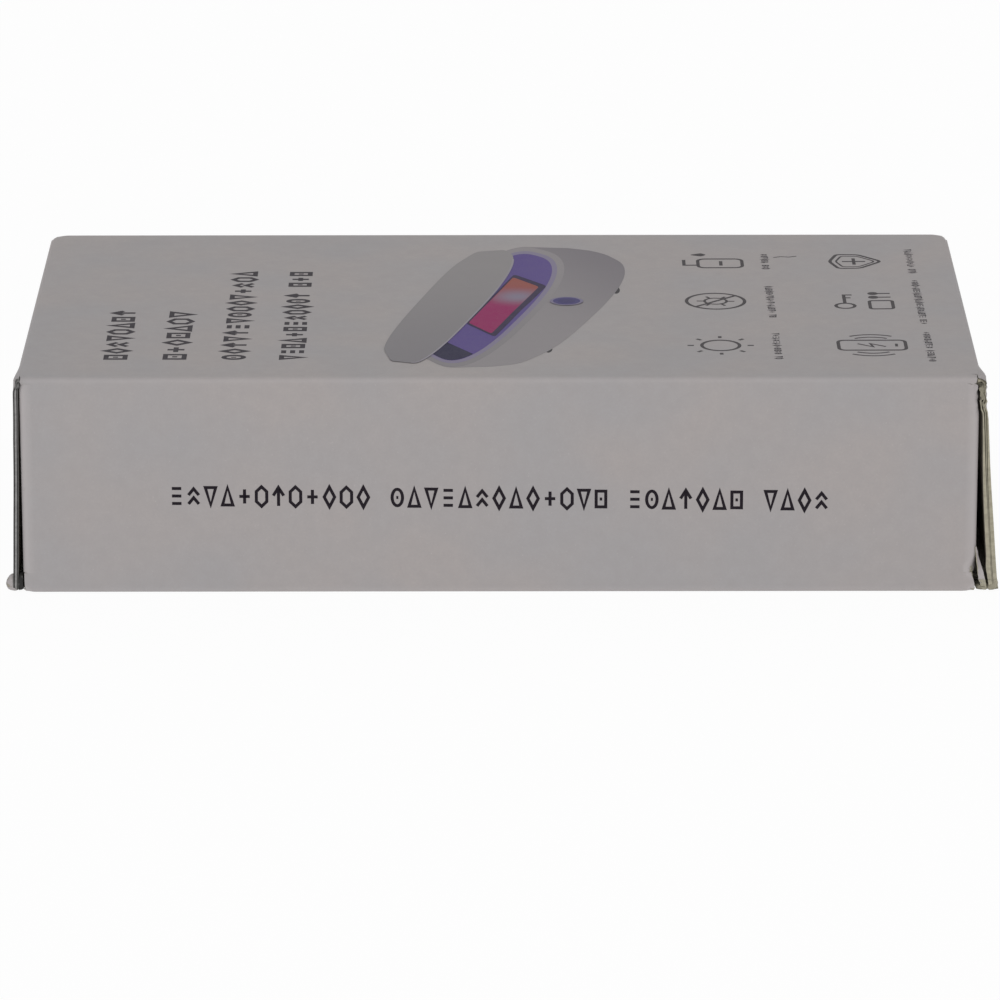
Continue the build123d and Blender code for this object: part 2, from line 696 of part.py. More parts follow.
SANITIZER = [base_shell, chamber_liner, end_insert, base_screws, rubber_feet, charging_coil, ferrite_plate,
             coil_carrier, main_board, main_board_chips, base_led_board, base_uv_led, base_window,
             button_board, button_switch, ring_leds, button_cap, light_ring, usb_board, usb_socket,
             lid_sensor, lid_shell, lid_liner, lid_seal, lid_screws, lid_led_boards, lid_uv_leds,
             lid_windows, lid_magnet]
for make in SANITIZER:
    made = make()
    solids = made if isinstance(made, list) else [made]
    parts[make.__name__] = Compound(children=[device_place * solid for solid in solids])
for side, name in ((-1, "left"), (1, "right")):
    parts[f"hinge_pin_{name}"] = device_place * hinge_pin(side)

os.makedirs("parts", exist_ok=True)
for name, shape in parts.items():
    export_step(shape, f"parts/{name}.step")
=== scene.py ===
"""Looks of a boxed phone sanitizer: the carton's board and print, the moulded tray and the sanitizer in it.

Everything is in metres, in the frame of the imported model: X along the carton, Y from its front panel to its
back panel, Z up. "Outward" is a distance past the end of the carton's tube, at either end.
"""

import json
import logging
import math
import random
from dataclasses import dataclass
from enum import Enum
from typing import Callable, Iterable, Sequence

import bmesh
import bpy
from mathutils import Matrix, Vector, geometry, noise

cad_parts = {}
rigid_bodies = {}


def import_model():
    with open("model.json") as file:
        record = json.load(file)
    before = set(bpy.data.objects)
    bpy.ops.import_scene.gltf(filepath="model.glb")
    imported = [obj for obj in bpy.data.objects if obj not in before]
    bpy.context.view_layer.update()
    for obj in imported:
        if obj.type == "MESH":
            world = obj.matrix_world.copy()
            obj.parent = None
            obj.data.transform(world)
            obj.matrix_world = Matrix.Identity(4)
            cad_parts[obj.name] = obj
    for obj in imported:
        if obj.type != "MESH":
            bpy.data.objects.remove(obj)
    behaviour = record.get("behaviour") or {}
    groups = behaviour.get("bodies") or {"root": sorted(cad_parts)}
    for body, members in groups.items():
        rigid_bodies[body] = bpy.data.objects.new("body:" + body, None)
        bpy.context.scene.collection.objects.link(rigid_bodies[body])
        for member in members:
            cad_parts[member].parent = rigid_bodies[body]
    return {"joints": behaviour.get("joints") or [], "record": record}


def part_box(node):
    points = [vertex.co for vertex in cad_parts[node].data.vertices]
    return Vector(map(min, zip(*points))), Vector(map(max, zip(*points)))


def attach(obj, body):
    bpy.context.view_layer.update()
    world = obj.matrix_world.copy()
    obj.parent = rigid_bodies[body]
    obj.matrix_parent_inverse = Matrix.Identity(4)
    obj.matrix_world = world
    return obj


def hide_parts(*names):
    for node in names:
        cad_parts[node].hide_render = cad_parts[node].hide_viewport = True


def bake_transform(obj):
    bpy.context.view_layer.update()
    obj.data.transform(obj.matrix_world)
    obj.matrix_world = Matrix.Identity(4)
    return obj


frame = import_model()

LOG = logging.getLogger("boxed_sanitizer")
MM = 0.001
CRUMPLE_SEED = 1795493762  # starts the vector noise, which starts from the clock otherwise

Colour = tuple[float, float, float]
Point2 = tuple[float, float]
Spot = tuple[Vector, Vector]  # a point and the outward normal there
Grid = Sequence[Sequence[Point2]]
Surface = Callable[[float, float], Spot]
AtPlace = Callable[[float, float], float]
AtPoint = Callable[[Vector], float]
Tint = Callable[[float, float], Colour]
Socket = bpy.types.NodeSocket
Piece = bpy.types.Object


class End(Enum):
    """The carton's two ends; the value is the sign of X out of that end."""

    LEFT = -1
    RIGHT = 1


class Row(Enum):
    """The carton's two long sides; the value is the sign of Y out of that side."""

    FRONT = -1
    BACK = 1


class Slot(Enum):
    """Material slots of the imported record."""

    PRINTED_BOARD = "printed_board"
    BOARD_INSIDE = "board_inside"
    MOULDED_PULP = "moulded_pulp"
    GREY_PLASTIC = "grey_plastic"
    VIOLET_PLASTIC = "violet_plastic"
    DARK_PLASTIC = "dark_plastic"
    BUTTON_PLASTIC = "button_plastic"
    LIGHT_GUIDE = "light_guide"
    SOFT_RUBBER = "soft_rubber"
    STEEL = "steel"
    COPPER_WINDING = "copper_winding"
    FERRITE = "ferrite"
    CIRCUIT_BOARD = "circuit_board"
    COMPONENT_BLACK = "component_black"
    EMITTER = "emitter"
    QUARTZ = "quartz"
    MAGNET_METAL = "magnet_metal"
    CARRIER_PLASTIC = "carrier_plastic"


# ---- finishes --------------------------------------------


class Shading:
    """A node material that is put together step by step around one Principled shader."""

    def __init__(self, title: str) -> None:
        """Starts a material with a given name."""
        self.material = bpy.data.materials.new(title)
        self.material.use_nodes = True
        self.tree = self.material.node_tree
        self.tree.nodes.clear()
        self.shader = self.add("ShaderNodeBsdfPrincipled")
        output = self.add("ShaderNodeOutputMaterial")
        self.link(self.shader.outputs[0], output.inputs["Surface"])
        self.place = self.add("ShaderNodeTexCoord").outputs["Object"]

    def add(self, kind: str, **settings: object) -> bpy.types.Node:
        """Adds a node.

        Args:
            kind: Blender's name of the node type.
            **settings: Properties to set on the node.

        Returns:
            The new node.
        """
        node = self.tree.nodes.new(kind)
        for key, value in settings.items():
            setattr(node, key, value)
        return node

    def link(self, source: Socket, target: Socket) -> None:
        """Joins two sockets."""
        self.tree.links.new(source, target)

    def feed(self, target: Socket, value: object) -> None:
        """Links a socket, or sets the constant, that goes into a target socket."""
        if isinstance(value, Socket):
            self.link(value, target)
        elif isinstance(value, tuple):
            target.default_value = (*value, 1.0)[: len(target.default_value)]
        else:
            target.default_value = value

    def noise(self, size: float, detail: float = 2.0, stretch: Sequence[float] = (1, 1, 1)) -> Socket:
        """Adds a noise texture fixed to the piece.

        Args:
            size: Size of its features in metres.
            detail: Octaves of finer detail.
            stretch: Factor on each axis; below 1 draws the features out along that axis.

        Returns:
            The noise's value, around 0.5.
        """
        mapping = self.add("ShaderNodeMapping")
        mapping.inputs["Scale"].default_value = stretch
        self.link(self.place, mapping.inputs["Vector"])
        texture = self.add("ShaderNodeTexNoise")
        texture.inputs["Scale"].default_value = 1 / size
        texture.inputs["Detail"].default_value = detail
        self.link(mapping.outputs[0], texture.inputs["Vector"])
        return texture.outputs["Fac"]

    def cells(self, size: float, feature: str = "F1") -> Socket:
        """Adds a cell texture fixed to the piece and returns its distance value."""
        texture = self.add("ShaderNodeTexVoronoi", feature=feature)
        texture.inputs["Scale"].default_value = 1 / size
        self.link(self.place, texture.inputs["Vector"])
        return texture.outputs["Distance"]

    def spread(self, value: object, low: float, high: float, start: float = 0.0, end: float = 1.0
               ) -> Socket:
        """Maps low..high to start..end, held at both limits, and returns the result."""
        node = self.add("ShaderNodeMapRange")
        for key, number in (("From Min", low), ("From Max", high), ("To Min", start), ("To Max", end)):
            node.inputs[key].default_value = number
        self.feed(node.inputs["Value"], value)
        return node.outputs[0]

    def maths(self, operation: str, first: object, second: object = 0.0) -> Socket:
        """Adds a Math node on two values and returns its result."""
        node = self.add("ShaderNodeMath", operation=operation)
        self.feed(node.inputs[0], first)
        self.feed(node.inputs[1], second)
        return node.outputs[0]

    def mix(self, share: object, first: object, second: object) -> Socket:
        """Mixes two colours and returns the result; share 0 is the first one."""
        node = self.add("ShaderNodeMix", data_type="RGBA")
        self.feed(node.inputs["Factor"], share)
        self.feed(node.inputs[6], first)
        self.feed(node.inputs[7], second)
        return node.outputs[2]

    def attribute(self, name: str, colour: bool = False) -> Socket:
        """Reads a point attribute of the mesh, as a value or a colour."""
        node = self.add("ShaderNodeAttribute", attribute_name=name)
        return node.outputs["Color" if colour else "Fac"]

    def bump(self, height: object, depth: float, under: Socket | None = None
             ) -> Socket:
        """Adds relief to the surface.

        Args:
            height: The relief, 0 to 1.
            depth: Its full height in metres.
            under: Normal of a relief that this one lies on.

        Returns:
            The bumped normal.
        """
        node = self.add("ShaderNodeBump")
        node.inputs["Distance"].default_value = depth
        self.feed(node.inputs["Height"], height)
        if under is not None:
            self.link(under, node.inputs["Normal"])
        return node.outputs[0]

    def finish(self, colour: object, roughness: object, normal: Socket | None = None,
               **constants: float) -> None:
        """Sets the shader's inputs.

        Args:
            colour: Base colour.
            roughness: Roughness.
            normal: Bumped normal, if the surface has relief.
            **constants: Other inputs by name, with underscores for spaces.
        """
        self.feed(self.shader.inputs["Base Color"], colour)
        self.feed(self.shader.inputs["Roughness"], roughness)
        if normal is not None:
            self.link(normal, self.shader.inputs["Normal"])
        for key, number in constants.items():
            self.shader.inputs[key.replace("_", " ")].default_value = number


@dataclass(frozen=True)
class Finish:
    """How one material of the product looks."""

    title: str
    colour: Colour
    roughness: float = 0.5

    def material(self) -> bpy.types.Material:
        """Returns the finish's material, made at its first use."""
        made = bpy.data.materials.get(self.title)
        if made is None:
            shading = Shading(self.title)
            self.shade(shading)
            made = shading.material
        return made

    def shade(self, s: Shading) -> None:
        """Puts the finish's nodes into a new material."""
        raise NotImplementedError

    def tint(self, factor: float) -> Colour:
        """The finish's colour, lighter or darker by a factor."""
        red, green, blue = self.colour
        return (red * factor, green * factor, blue * factor)


@dataclass(frozen=True)
class PrintedLiner(Finish):
    """Coated, printed outer paper of the board; a point attribute bares the brown stock under it and, at low
    values, lightens the coat as painted highlight along creases and edges; another darkens it as painted
    shade.
    """

    stock: Colour = (0.30, 0.275, 0.195)
    shade_and_soot: Colour = (0.035, 0.03, 0.025)

    def shade(self, s: Shading) -> None:
        """Cloudy grey print over fibres, rubbed through where the board is worn, lighter along creases as
        painted highlight and darker in crumples and gaps as painted shade.
        """
        warm = (self.colour[0] * 1.03, self.colour[1] * 1.01, self.colour[2] * 0.99)
        cool = (self.colour[0] * 0.96, self.colour[1] * 0.985, self.colour[2] * 1.0)
        clouds = s.mix(s.spread(s.noise(26 * MM, 1.5), 0.35, 0.65), warm, cool)
        blotches = s.spread(s.noise(3.2 * MM, 3.0), 0.3, 0.7, 0.0, 0.3)
        coat = s.mix(blotches, clouds, self.tint(0.84))
        coat = s.mix(s.spread(s.noise(0.7 * MM, 3.0), 0.3, 0.7, 0.0, 0.4), coat, self.tint(0.9))
        specks = s.spread(s.noise(0.5 * MM, 2.0), 0.66, 0.78, 0.0, 0.4)
        coat = s.mix(specks, coat, self.tint(1.3))
        # Low values lighten the coat: painted highlight along creases and edges. High values rub it through
        # to the stock.
        wear = s.attribute("wear")
        coat = s.mix(s.spread(wear, 0.0, 0.14, 0.0, 0.55), coat, self.tint(1.22))
        tatter = s.maths("ADD", wear, s.spread(s.noise(0.9 * MM, 4.0), 0.3, 0.7, -0.35, 0.35))
        rubbed = s.spread(tatter, 0.45, 0.62)
        stock = s.mix(s.noise(0.6 * MM, 3.0), self.stock, (0.42, 0.40, 0.33))
        # A second point attribute mixes in a near-black: painted shade in crumples, cracked creases and gaps,
        # and a darker worn front edge at the left end.
        shaded_and_soiled = s.mix(s.attribute("soil"), s.mix(rubbed, coat, stock), self.shade_and_soot)
        fibres = s.bump(s.noise(0.28 * MM, 3.0), 0.012 * MM)
        ripple = s.bump(s.noise(9 * MM, 2.0), 0.05 * MM, fibres)
        torn = s.bump(s.maths("MULTIPLY", rubbed, s.noise(0.35 * MM, 4.0)), 0.25 * MM, ripple)
        roughness = s.spread(rubbed, 0.0, 1.0, self.roughness, 0.95)
        s.finish(shaded_and_soiled, roughness, torn, Specular_IOR_Level=0.22)


@dataclass(frozen=True)
class BarePaper(Finish):
    """Uncoated board paper: the inner liner, the waved medium and every cut edge."""

    grain: float = 4.0

    def shade(self, s: Shading) -> None:
        """Recycled stock with long fibres and darker flecks."""
        fibres = s.noise(0.7 * MM, 4.0, (1 / self.grain, 1, 1))
        base = s.mix(s.spread(fibres, 0.3, 0.7), self.tint(0.82), self.tint(1.14))
        flecks = s.spread(s.cells(1.1 * MM), 0.02, 0.10, 0.7, 0.0)
        fleck_mask = s.maths("MULTIPLY", flecks, s.spread(s.noise(2.5 * MM), 0.5, 0.65))
        shade = s.mix(fleck_mask, base, self.tint(0.5))
        # The point attribute that darkens the printed liner darkens this paper too: painted shade in crumpled
        # rolls, cracked creases and gaps, and the darker worn front edge at the left end.
        shade = s.mix(s.attribute("soil"), shade, self.tint(0.12))
        relief = s.bump(fibres, 0.03 * MM)
        s.finish(shade, s.spread(fibres, 0.3, 0.7, self.roughness, 0.95), relief, Specular_IOR_Level=0.15)


@dataclass(frozen=True)
class PrintInk(Finish):
    """A flat layer of printing ink that lets a little of the paper's clouding through."""

    def shade(self, s: Shading) -> None:
        """Ink with faint voids where the paper's fibres stand up."""
        voids = s.spread(s.noise(0.5 * MM, 3.0), 0.58, 0.78, 0.0, 0.14)
        colour = s.mix(voids, self.colour, tuple(0.75 * c + 0.08 for c in self.colour))
        s.finish(colour, s.spread(s.noise(1.3 * MM), 0.3, 0.7, self.roughness, self.roughness + 0.12),
                 s.bump(s.noise(0.28 * MM, 3.0), 0.01 * MM), Specular_IOR_Level=0.12)


@dataclass(frozen=True)
class PictureInk(Finish):
    """Four-colour print: the mesh's tint attribute carries the picture's soft shading."""

    def shade(self, s: Shading) -> None:
        """Shaded tints broken up by a fine printing grain."""
        grain = s.spread(s.noise(0.35 * MM, 2.0), 0.3, 0.7, 0.0, 0.06)
        blotches = s.spread(s.noise(3.2 * MM, 3.0), 0.3, 0.7, 0.0, 0.06)
        tint = s.mix(grain, s.attribute("tint", colour=True), self.colour)
        s.finish(s.mix(blotches, tint, self.tint(0.6)), self.roughness,
                 s.bump(s.noise(0.28 * MM, 3.0), 0.01 * MM), Specular_IOR_Level=0.06)


@dataclass(frozen=True)
class MouldedPulp(Finish):
    """Felted paper pulp, rough on its open side, with tiny clots and dark flecks."""

    def shade(self, s: Shading) -> None:
        """Clotted fibres over a soft unevenness left by the mould's mesh."""
        clots = s.noise(1.6 * MM, 5.0)
        base = s.mix(s.spread(clots, 0.3, 0.7), self.tint(0.78), self.tint(1.16))
        flecks = s.maths("MULTIPLY", s.spread(s.cells(2.2 * MM), 0.03, 0.12, 0.8, 0.0),
                         s.spread(s.noise(5 * MM), 0.5, 0.62))
        felt = s.bump(clots, 0.35 * MM)
        mesh_marks = s.bump(s.cells(0.9 * MM, "SMOOTH_F1"), 0.08 * MM, felt)
        s.finish(s.mix(flecks, base, self.tint(0.4)), 0.95, mesh_marks, Specular_IOR_Level=0.1)


@dataclass(frozen=True)
class MouldedPlastic(Finish):
    """Injection-moulded plastic with a spark-eroded texture and slight flow marks."""

    texture: float = 0.35 * MM
    relief: float = 0.01 * MM
    coat: float = 0.0

    def shade(self, s: Shading) -> None:
        """Fine even grain, with the colour drifting a little across the part."""
        flow = s.spread(s.noise(30 * MM, 1.0), 0.3, 0.7)
        colour = s.mix(flow, self.tint(0.95), self.tint(1.05))
        grain = s.noise(self.texture, 2.0)
        handled = s.spread(s.noise(7 * MM, 3.0), 0.35, 0.7, self.roughness - 0.04, self.roughness + 0.06)
        s.finish(colour, handled, s.bump(grain, self.relief), Coat_Weight=self.coat, Coat_Roughness=0.12)


@dataclass(frozen=True)
class ClearGlass(Finish):
    """Polished clear window with the faintest smear on it."""

    def shade(self, s: Shading) -> None:
        """Transmission with a slightly uneven polish."""
        smear = s.spread(s.noise(4 * MM, 3.0, (1, 0.3, 1)), 0.4, 0.8, self.roughness, self.roughness + 0.08)
        colour = s.mix(s.noise(2 * MM), self.colour, self.tint(0.97))
        s.finish(colour, smear, Transmission_Weight=1.0, IOR=1.46)


@dataclass(frozen=True)
class SoftRubber(Finish):
    """Matte moulded silicone that has picked up a little dust."""

    def shade(self, s: Shading) -> None:
        """Dark rubber with a pale bloom of dust."""
        dust = s.spread(s.noise(1.2 * MM, 5.0), 0.52, 0.75, 0.0, 0.25)
        s.finish(s.mix(dust, self.colour, (0.16, 0.155, 0.15)), self.roughness,
                 s.bump(s.noise(0.4 * MM, 3.0), 0.015 * MM), Specular_IOR_Level=0.3)


@dataclass(frozen=True)
class PlatedMetal(Finish):
    """Drawn or plated metal with fine tool marks along X."""

    marks: Sequence[float] = (0.05, 1.0, 1.0)

    def shade(self, s: Shading) -> None:
        """Metal with brushed lines and faint staining."""
        lines = s.noise(0.25 * MM, 3.0, self.marks)
        stain = s.mix(s.spread(s.noise(2.5 * MM, 3.0), 0.45, 0.7), self.colour, self.tint(0.72))
        rough = s.spread(lines, 0.3, 0.7, self.roughness - 0.08, self.roughness + 0.12)
        s.finish(stain, rough, s.bump(lines, 0.006 * MM), Metallic=1.0)


@dataclass(frozen=True)
class WoundCopper(Finish):
    """Lacquered copper wire wound in a flat spiral round one axis."""

    middle: Point2 = (0.0, 0.0)
    wire: float = 0.5 * MM

    def shade(self, s: Shading) -> None:
        """Round wires side by side, each with its own slight tone, near black in the grooves between them as
        painted shade.
        """
        shift = s.add("ShaderNodeVectorMath", operation="SUBTRACT")
        shift.inputs[1].default_value = (*self.middle, 0.0)
        s.link(s.place, shift.inputs[0])
        flat = s.add("ShaderNodeVectorMath", operation="MULTIPLY")
        flat.inputs[1].default_value = (1.0, 1.0, 0.0)
        s.link(shift.outputs[0], flat.inputs[0])
        radius = s.add("ShaderNodeVectorMath", operation="LENGTH")
        s.link(flat.outputs[0], radius.inputs[0])
        turn = s.maths("PINGPONG", radius.outputs["Value"], self.wire / 2)
        crown = s.maths("DIVIDE", turn, self.wire / 2)
        tone = s.mix(s.spread(s.noise(6 * MM, 2.0), 0.3, 0.7), self.tint(0.8), self.tint(1.1))
        # Painted shade: near black in the grooves between the wires' crowns.
        shade = s.mix(s.spread(crown, 0.0, 0.35), self.tint(0.15), tone)
        rough = s.spread(crown, 0.0, 1.0, 0.55, self.roughness)
        s.finish(shade, rough, s.bump(crown, 0.12 * MM), Metallic=0.9)


@dataclass(frozen=True)
class SinteredPlate(Finish):
    """Dark pressed ferrite with a dry, slightly sparkling break."""

    def shade(self, s: Shading) -> None:
        """Fine powder grain with pale grains in it."""
        grains = s.spread(s.noise(0.5 * MM, 4.0), 0.6, 0.75)
        s.finish(s.mix(grains, self.colour, self.tint(2.2)), self.roughness,
                 s.bump(s.noise(0.5 * MM, 4.0), 0.04 * MM))


@dataclass(frozen=True)
class SolderMask(Finish):
    """Green lacquered circuit board with copper tracks under the lacquer and a few tinned pads."""

    def shade(self, s: Shading) -> None:
        """Tracks on a square grid that come and go, with pads at some of the crossings."""
        tracks = s.cells(2.1 * MM, "DISTANCE_TO_EDGE")
        track = s.spread(tracks, 0.05, 0.08, 1.0, 0.0)
        lacquer = s.mix(track, self.colour, self.tint(1.9))
        pads = s.spread(s.cells(3.3 * MM), 0.10, 0.12, 1.0, 0.0)
        pads = s.maths("MULTIPLY", pads, s.spread(s.noise(6 * MM), 0.5, 0.52))
        s.finish(s.mix(pads, lacquer, (0.55, 0.55, 0.52)), s.spread(pads, 0.0, 1.0, self.roughness, 0.3),
                 s.bump(track, 0.03 * MM), Coat_Weight=0.4, Coat_Roughness=0.2)


@dataclass(frozen=True)
class LedCeramic(Finish):
    """Pale ceramic diode package."""

    def shade(self, s: Shading) -> None:
        """Creamy body with slight glaze."""
        drift = s.mix(s.spread(s.noise(1.1 * MM, 2.0), 0.4, 0.6), self.colour, self.tint(0.8))
        s.finish(drift, self.roughness, s.bump(s.noise(0.2 * MM), 0.01 * MM),
                 Coat_Weight=0.6, Coat_Roughness=0.08)


PRINTED = PrintedLiner("printed_liner", (0.366, 0.342, 0.342), 0.62)
INSIDE = BarePaper("inner_liner", (0.29, 0.27, 0.225), 0.85)
MEDIUM = BarePaper("waved_medium", (0.35, 0.325, 0.25), 0.9, grain=1.5)
GREY_MEDIUM = BarePaper("grey_medium", (0.25, 0.245, 0.24), 0.9, grain=1.5)

CAD_FINISHES: dict[Slot, Finish] = {
    Slot.PRINTED_BOARD: PRINTED,
    Slot.BOARD_INSIDE: INSIDE,
    Slot.MOULDED_PULP: MouldedPulp("moulded_pulp", (0.40, 0.38, 0.345)),
    Slot.GREY_PLASTIC: MouldedPlastic("grey_shell", (0.36, 0.35, 0.36), 0.46),
    Slot.VIOLET_PLASTIC: MouldedPlastic("violet_liner", (0.13, 0.095, 0.25), 0.34, 0.5 * MM, coat=0.25),
    Slot.DARK_PLASTIC: MouldedPlastic("dark_insert", (0.05, 0.04, 0.07), 0.42),
    Slot.BUTTON_PLASTIC: MouldedPlastic("violet_button", (0.12, 0.105, 0.27), 0.3, coat=0.3),
    Slot.LIGHT_GUIDE: MouldedPlastic("light_ring", (0.74, 0.73, 0.84), 0.28, coat=0.5),
    Slot.SOFT_RUBBER: SoftRubber("soft_rubber", (0.045, 0.045, 0.05), 0.78),
    Slot.STEEL: PlatedMetal("plated_steel", (0.56, 0.56, 0.57), 0.34),
    Slot.FERRITE: SinteredPlate("ferrite", (0.06, 0.06, 0.066), 0.7),
    Slot.CIRCUIT_BOARD: SolderMask("solder_mask", (0.02, 0.15, 0.07), 0.35),
    Slot.COMPONENT_BLACK: MouldedPlastic("chip_package", (0.03, 0.03, 0.034), 0.5, texture=0.15 * MM),
    Slot.EMITTER: LedCeramic("diode_package", (0.84, 0.79, 0.56), 0.3),
    Slot.QUARTZ: ClearGlass("quartz_window", (0.93, 0.93, 0.98), 0.03),
    Slot.MAGNET_METAL: PlatedMetal("nickel_magnet", (0.62, 0.61, 0.6), 0.18, marks=(1.0, 1.0, 0.1)),
    Slot.CARRIER_PLASTIC: MouldedPlastic("coil_carrier", (0.58, 0.58, 0.56), 0.55),
}


# ---- mesh building ---------------------------------------


def spaced(start: float, end: float, count: int) -> list[float]:
    """Evenly spaced stops from start to end, both included."""
    return [start + (end - start) * i / (count - 1) for i in range(count)]


def ease(share: float) -> float:
    """Smooth step from 0 to 1."""
    share = min(1.0, max(0.0, share))
    return share * share * (3 - 2 * share)


class FoldedLine:
    """A line in a plane made of straight runs, with an arc at each inner corner."""

    def __init__(self, corners: Sequence[Point2], radii: Sequence[float]) -> None:
        """Works out runs and arcs.

        Args:
            corners: First point, the corners, and the last point.
            radii: Bend radius of the line at each inner corner.
        """
        points = [Vector(c) for c in corners]
        self.spans: list[tuple[float, Callable[[float], Spot]]] = []
        at = points[0]
        for before, corner, after, radius in zip(points, points[1:], points[2:], radii):
            ahead, leave = (corner - before).normalized(), (after - corner).normalized()
            turn = ahead.angle_signed(leave)
            reach = radius * math.tan(abs(turn) / 2)
            start = corner - ahead * reach
            self._run(at, start)
            side = math.copysign(1.0, -turn)
            middle = start + Vector((-ahead.y, ahead.x)) * side * radius
            self._arc(middle, start, -turn, radius)
            at = corner + leave * reach
        self._run(at, points[-1])
        self.length = sum(length for length, _ in self.spans)

    def _run(self, start: Vector, end: Vector) -> None:
        """Adds a straight run."""
        way = end - start
        if way.length < 1e-7:
            return
        ahead = way.normalized()
        normal = Vector((-ahead.y, ahead.x))
        self.spans.append((way.length, lambda s: (start + ahead * s, normal)))

    def _arc(self, middle: Vector, start: Vector, turn: float, radius: float) -> None:
        """Adds an arc that turns by an angle, positive to the left."""
        spoke = start - middle

        def at(s: float) -> Spot:
            angle = math.copysign(s / radius, turn)
            cosine, sine = math.cos(angle), math.sin(angle)
            out = Vector((spoke.x * cosine - spoke.y * sine, spoke.x * sine + spoke.y * cosine))
            return middle + out, out.normalized() * -math.copysign(1.0, turn)

        self.spans.append((radius * abs(turn), at))

    def at(self, s: float) -> Spot:
        """Point and left-hand normal at a distance along the line, which runs on straight past its ends."""
        if s < 0:
            point, normal = self.spans[0][1](0.0)
            return point + Vector((normal.y, -normal.x)) * s, normal
        for length, span in self.spans:
            if s <= length:
                return span(s)
            s -= length
        length, span = self.spans[-1]
        point, normal = span(length)
        return point + Vector((normal.y, -normal.x)) * s, normal

    def stops(self, run_step: float, arc_step: float) -> list[float]:
        """Distances along the line at which to cut it: coarse on the runs, fine on the arcs."""
        found, at = [0.0], 0.0
        for length, span in self.spans:
            bent = (span(0.0)[1] - span(length)[1]).length > 1e-6
            count = max(1, math.ceil(length / (arc_step if bent else run_step)))
            found += [at + length * i / count for i in range(1, count + 1)]
            at += length
        return found


@dataclass(frozen=True)
class Board:
    """Single-wall corrugated board: two liners with a waved medium between them."""

    thickness: float = 1.2 * MM
    liner: float = 0.2 * MM
    medium: float = 0.14 * MM
    pitch: float = 2.3 * MM

    @property
    def half(self) -> float:
        """Half the board's thickness."""
        return self.thickness / 2

    def wave(self, across: float) -> float:
        """Height of the medium's middle over the board's middle, at a distance across the flutes."""
        swing = self.half - self.liner - self.medium / 2 + 0.01 * MM
        return swing * math.sin(2 * math.pi * across / self.pitch)


BOARD = Board()


@dataclass(frozen=True)
class Knock:
    """A place where the carton has been hit: it pushes, crumples and rubs the board around a point."""

    place: Vector
    radius: float
    push: Vector = Vector((0, 0, 0))
    crumple: float = 0.0
    wear: float = 0.0
    grain: float = 1.6 * MM
    # darkening round the knock: painted shade in its crumples
    soil: float = 0.0

    def share(self, point: Vector) -> float:
        """How strongly the knock acts at a point, 0 to 1."""
        return 1 - ease((point - self.place).length / self.radius)

    def shift(self, point: Vector) -> Vector:
        """How far the knock moves a point."""
        share = self.share(point)
        if share <= 0:
            return Vector((0, 0, 0))
        return self.push * share + noise.noise_vector(point / self.grain) * self.crumple * share


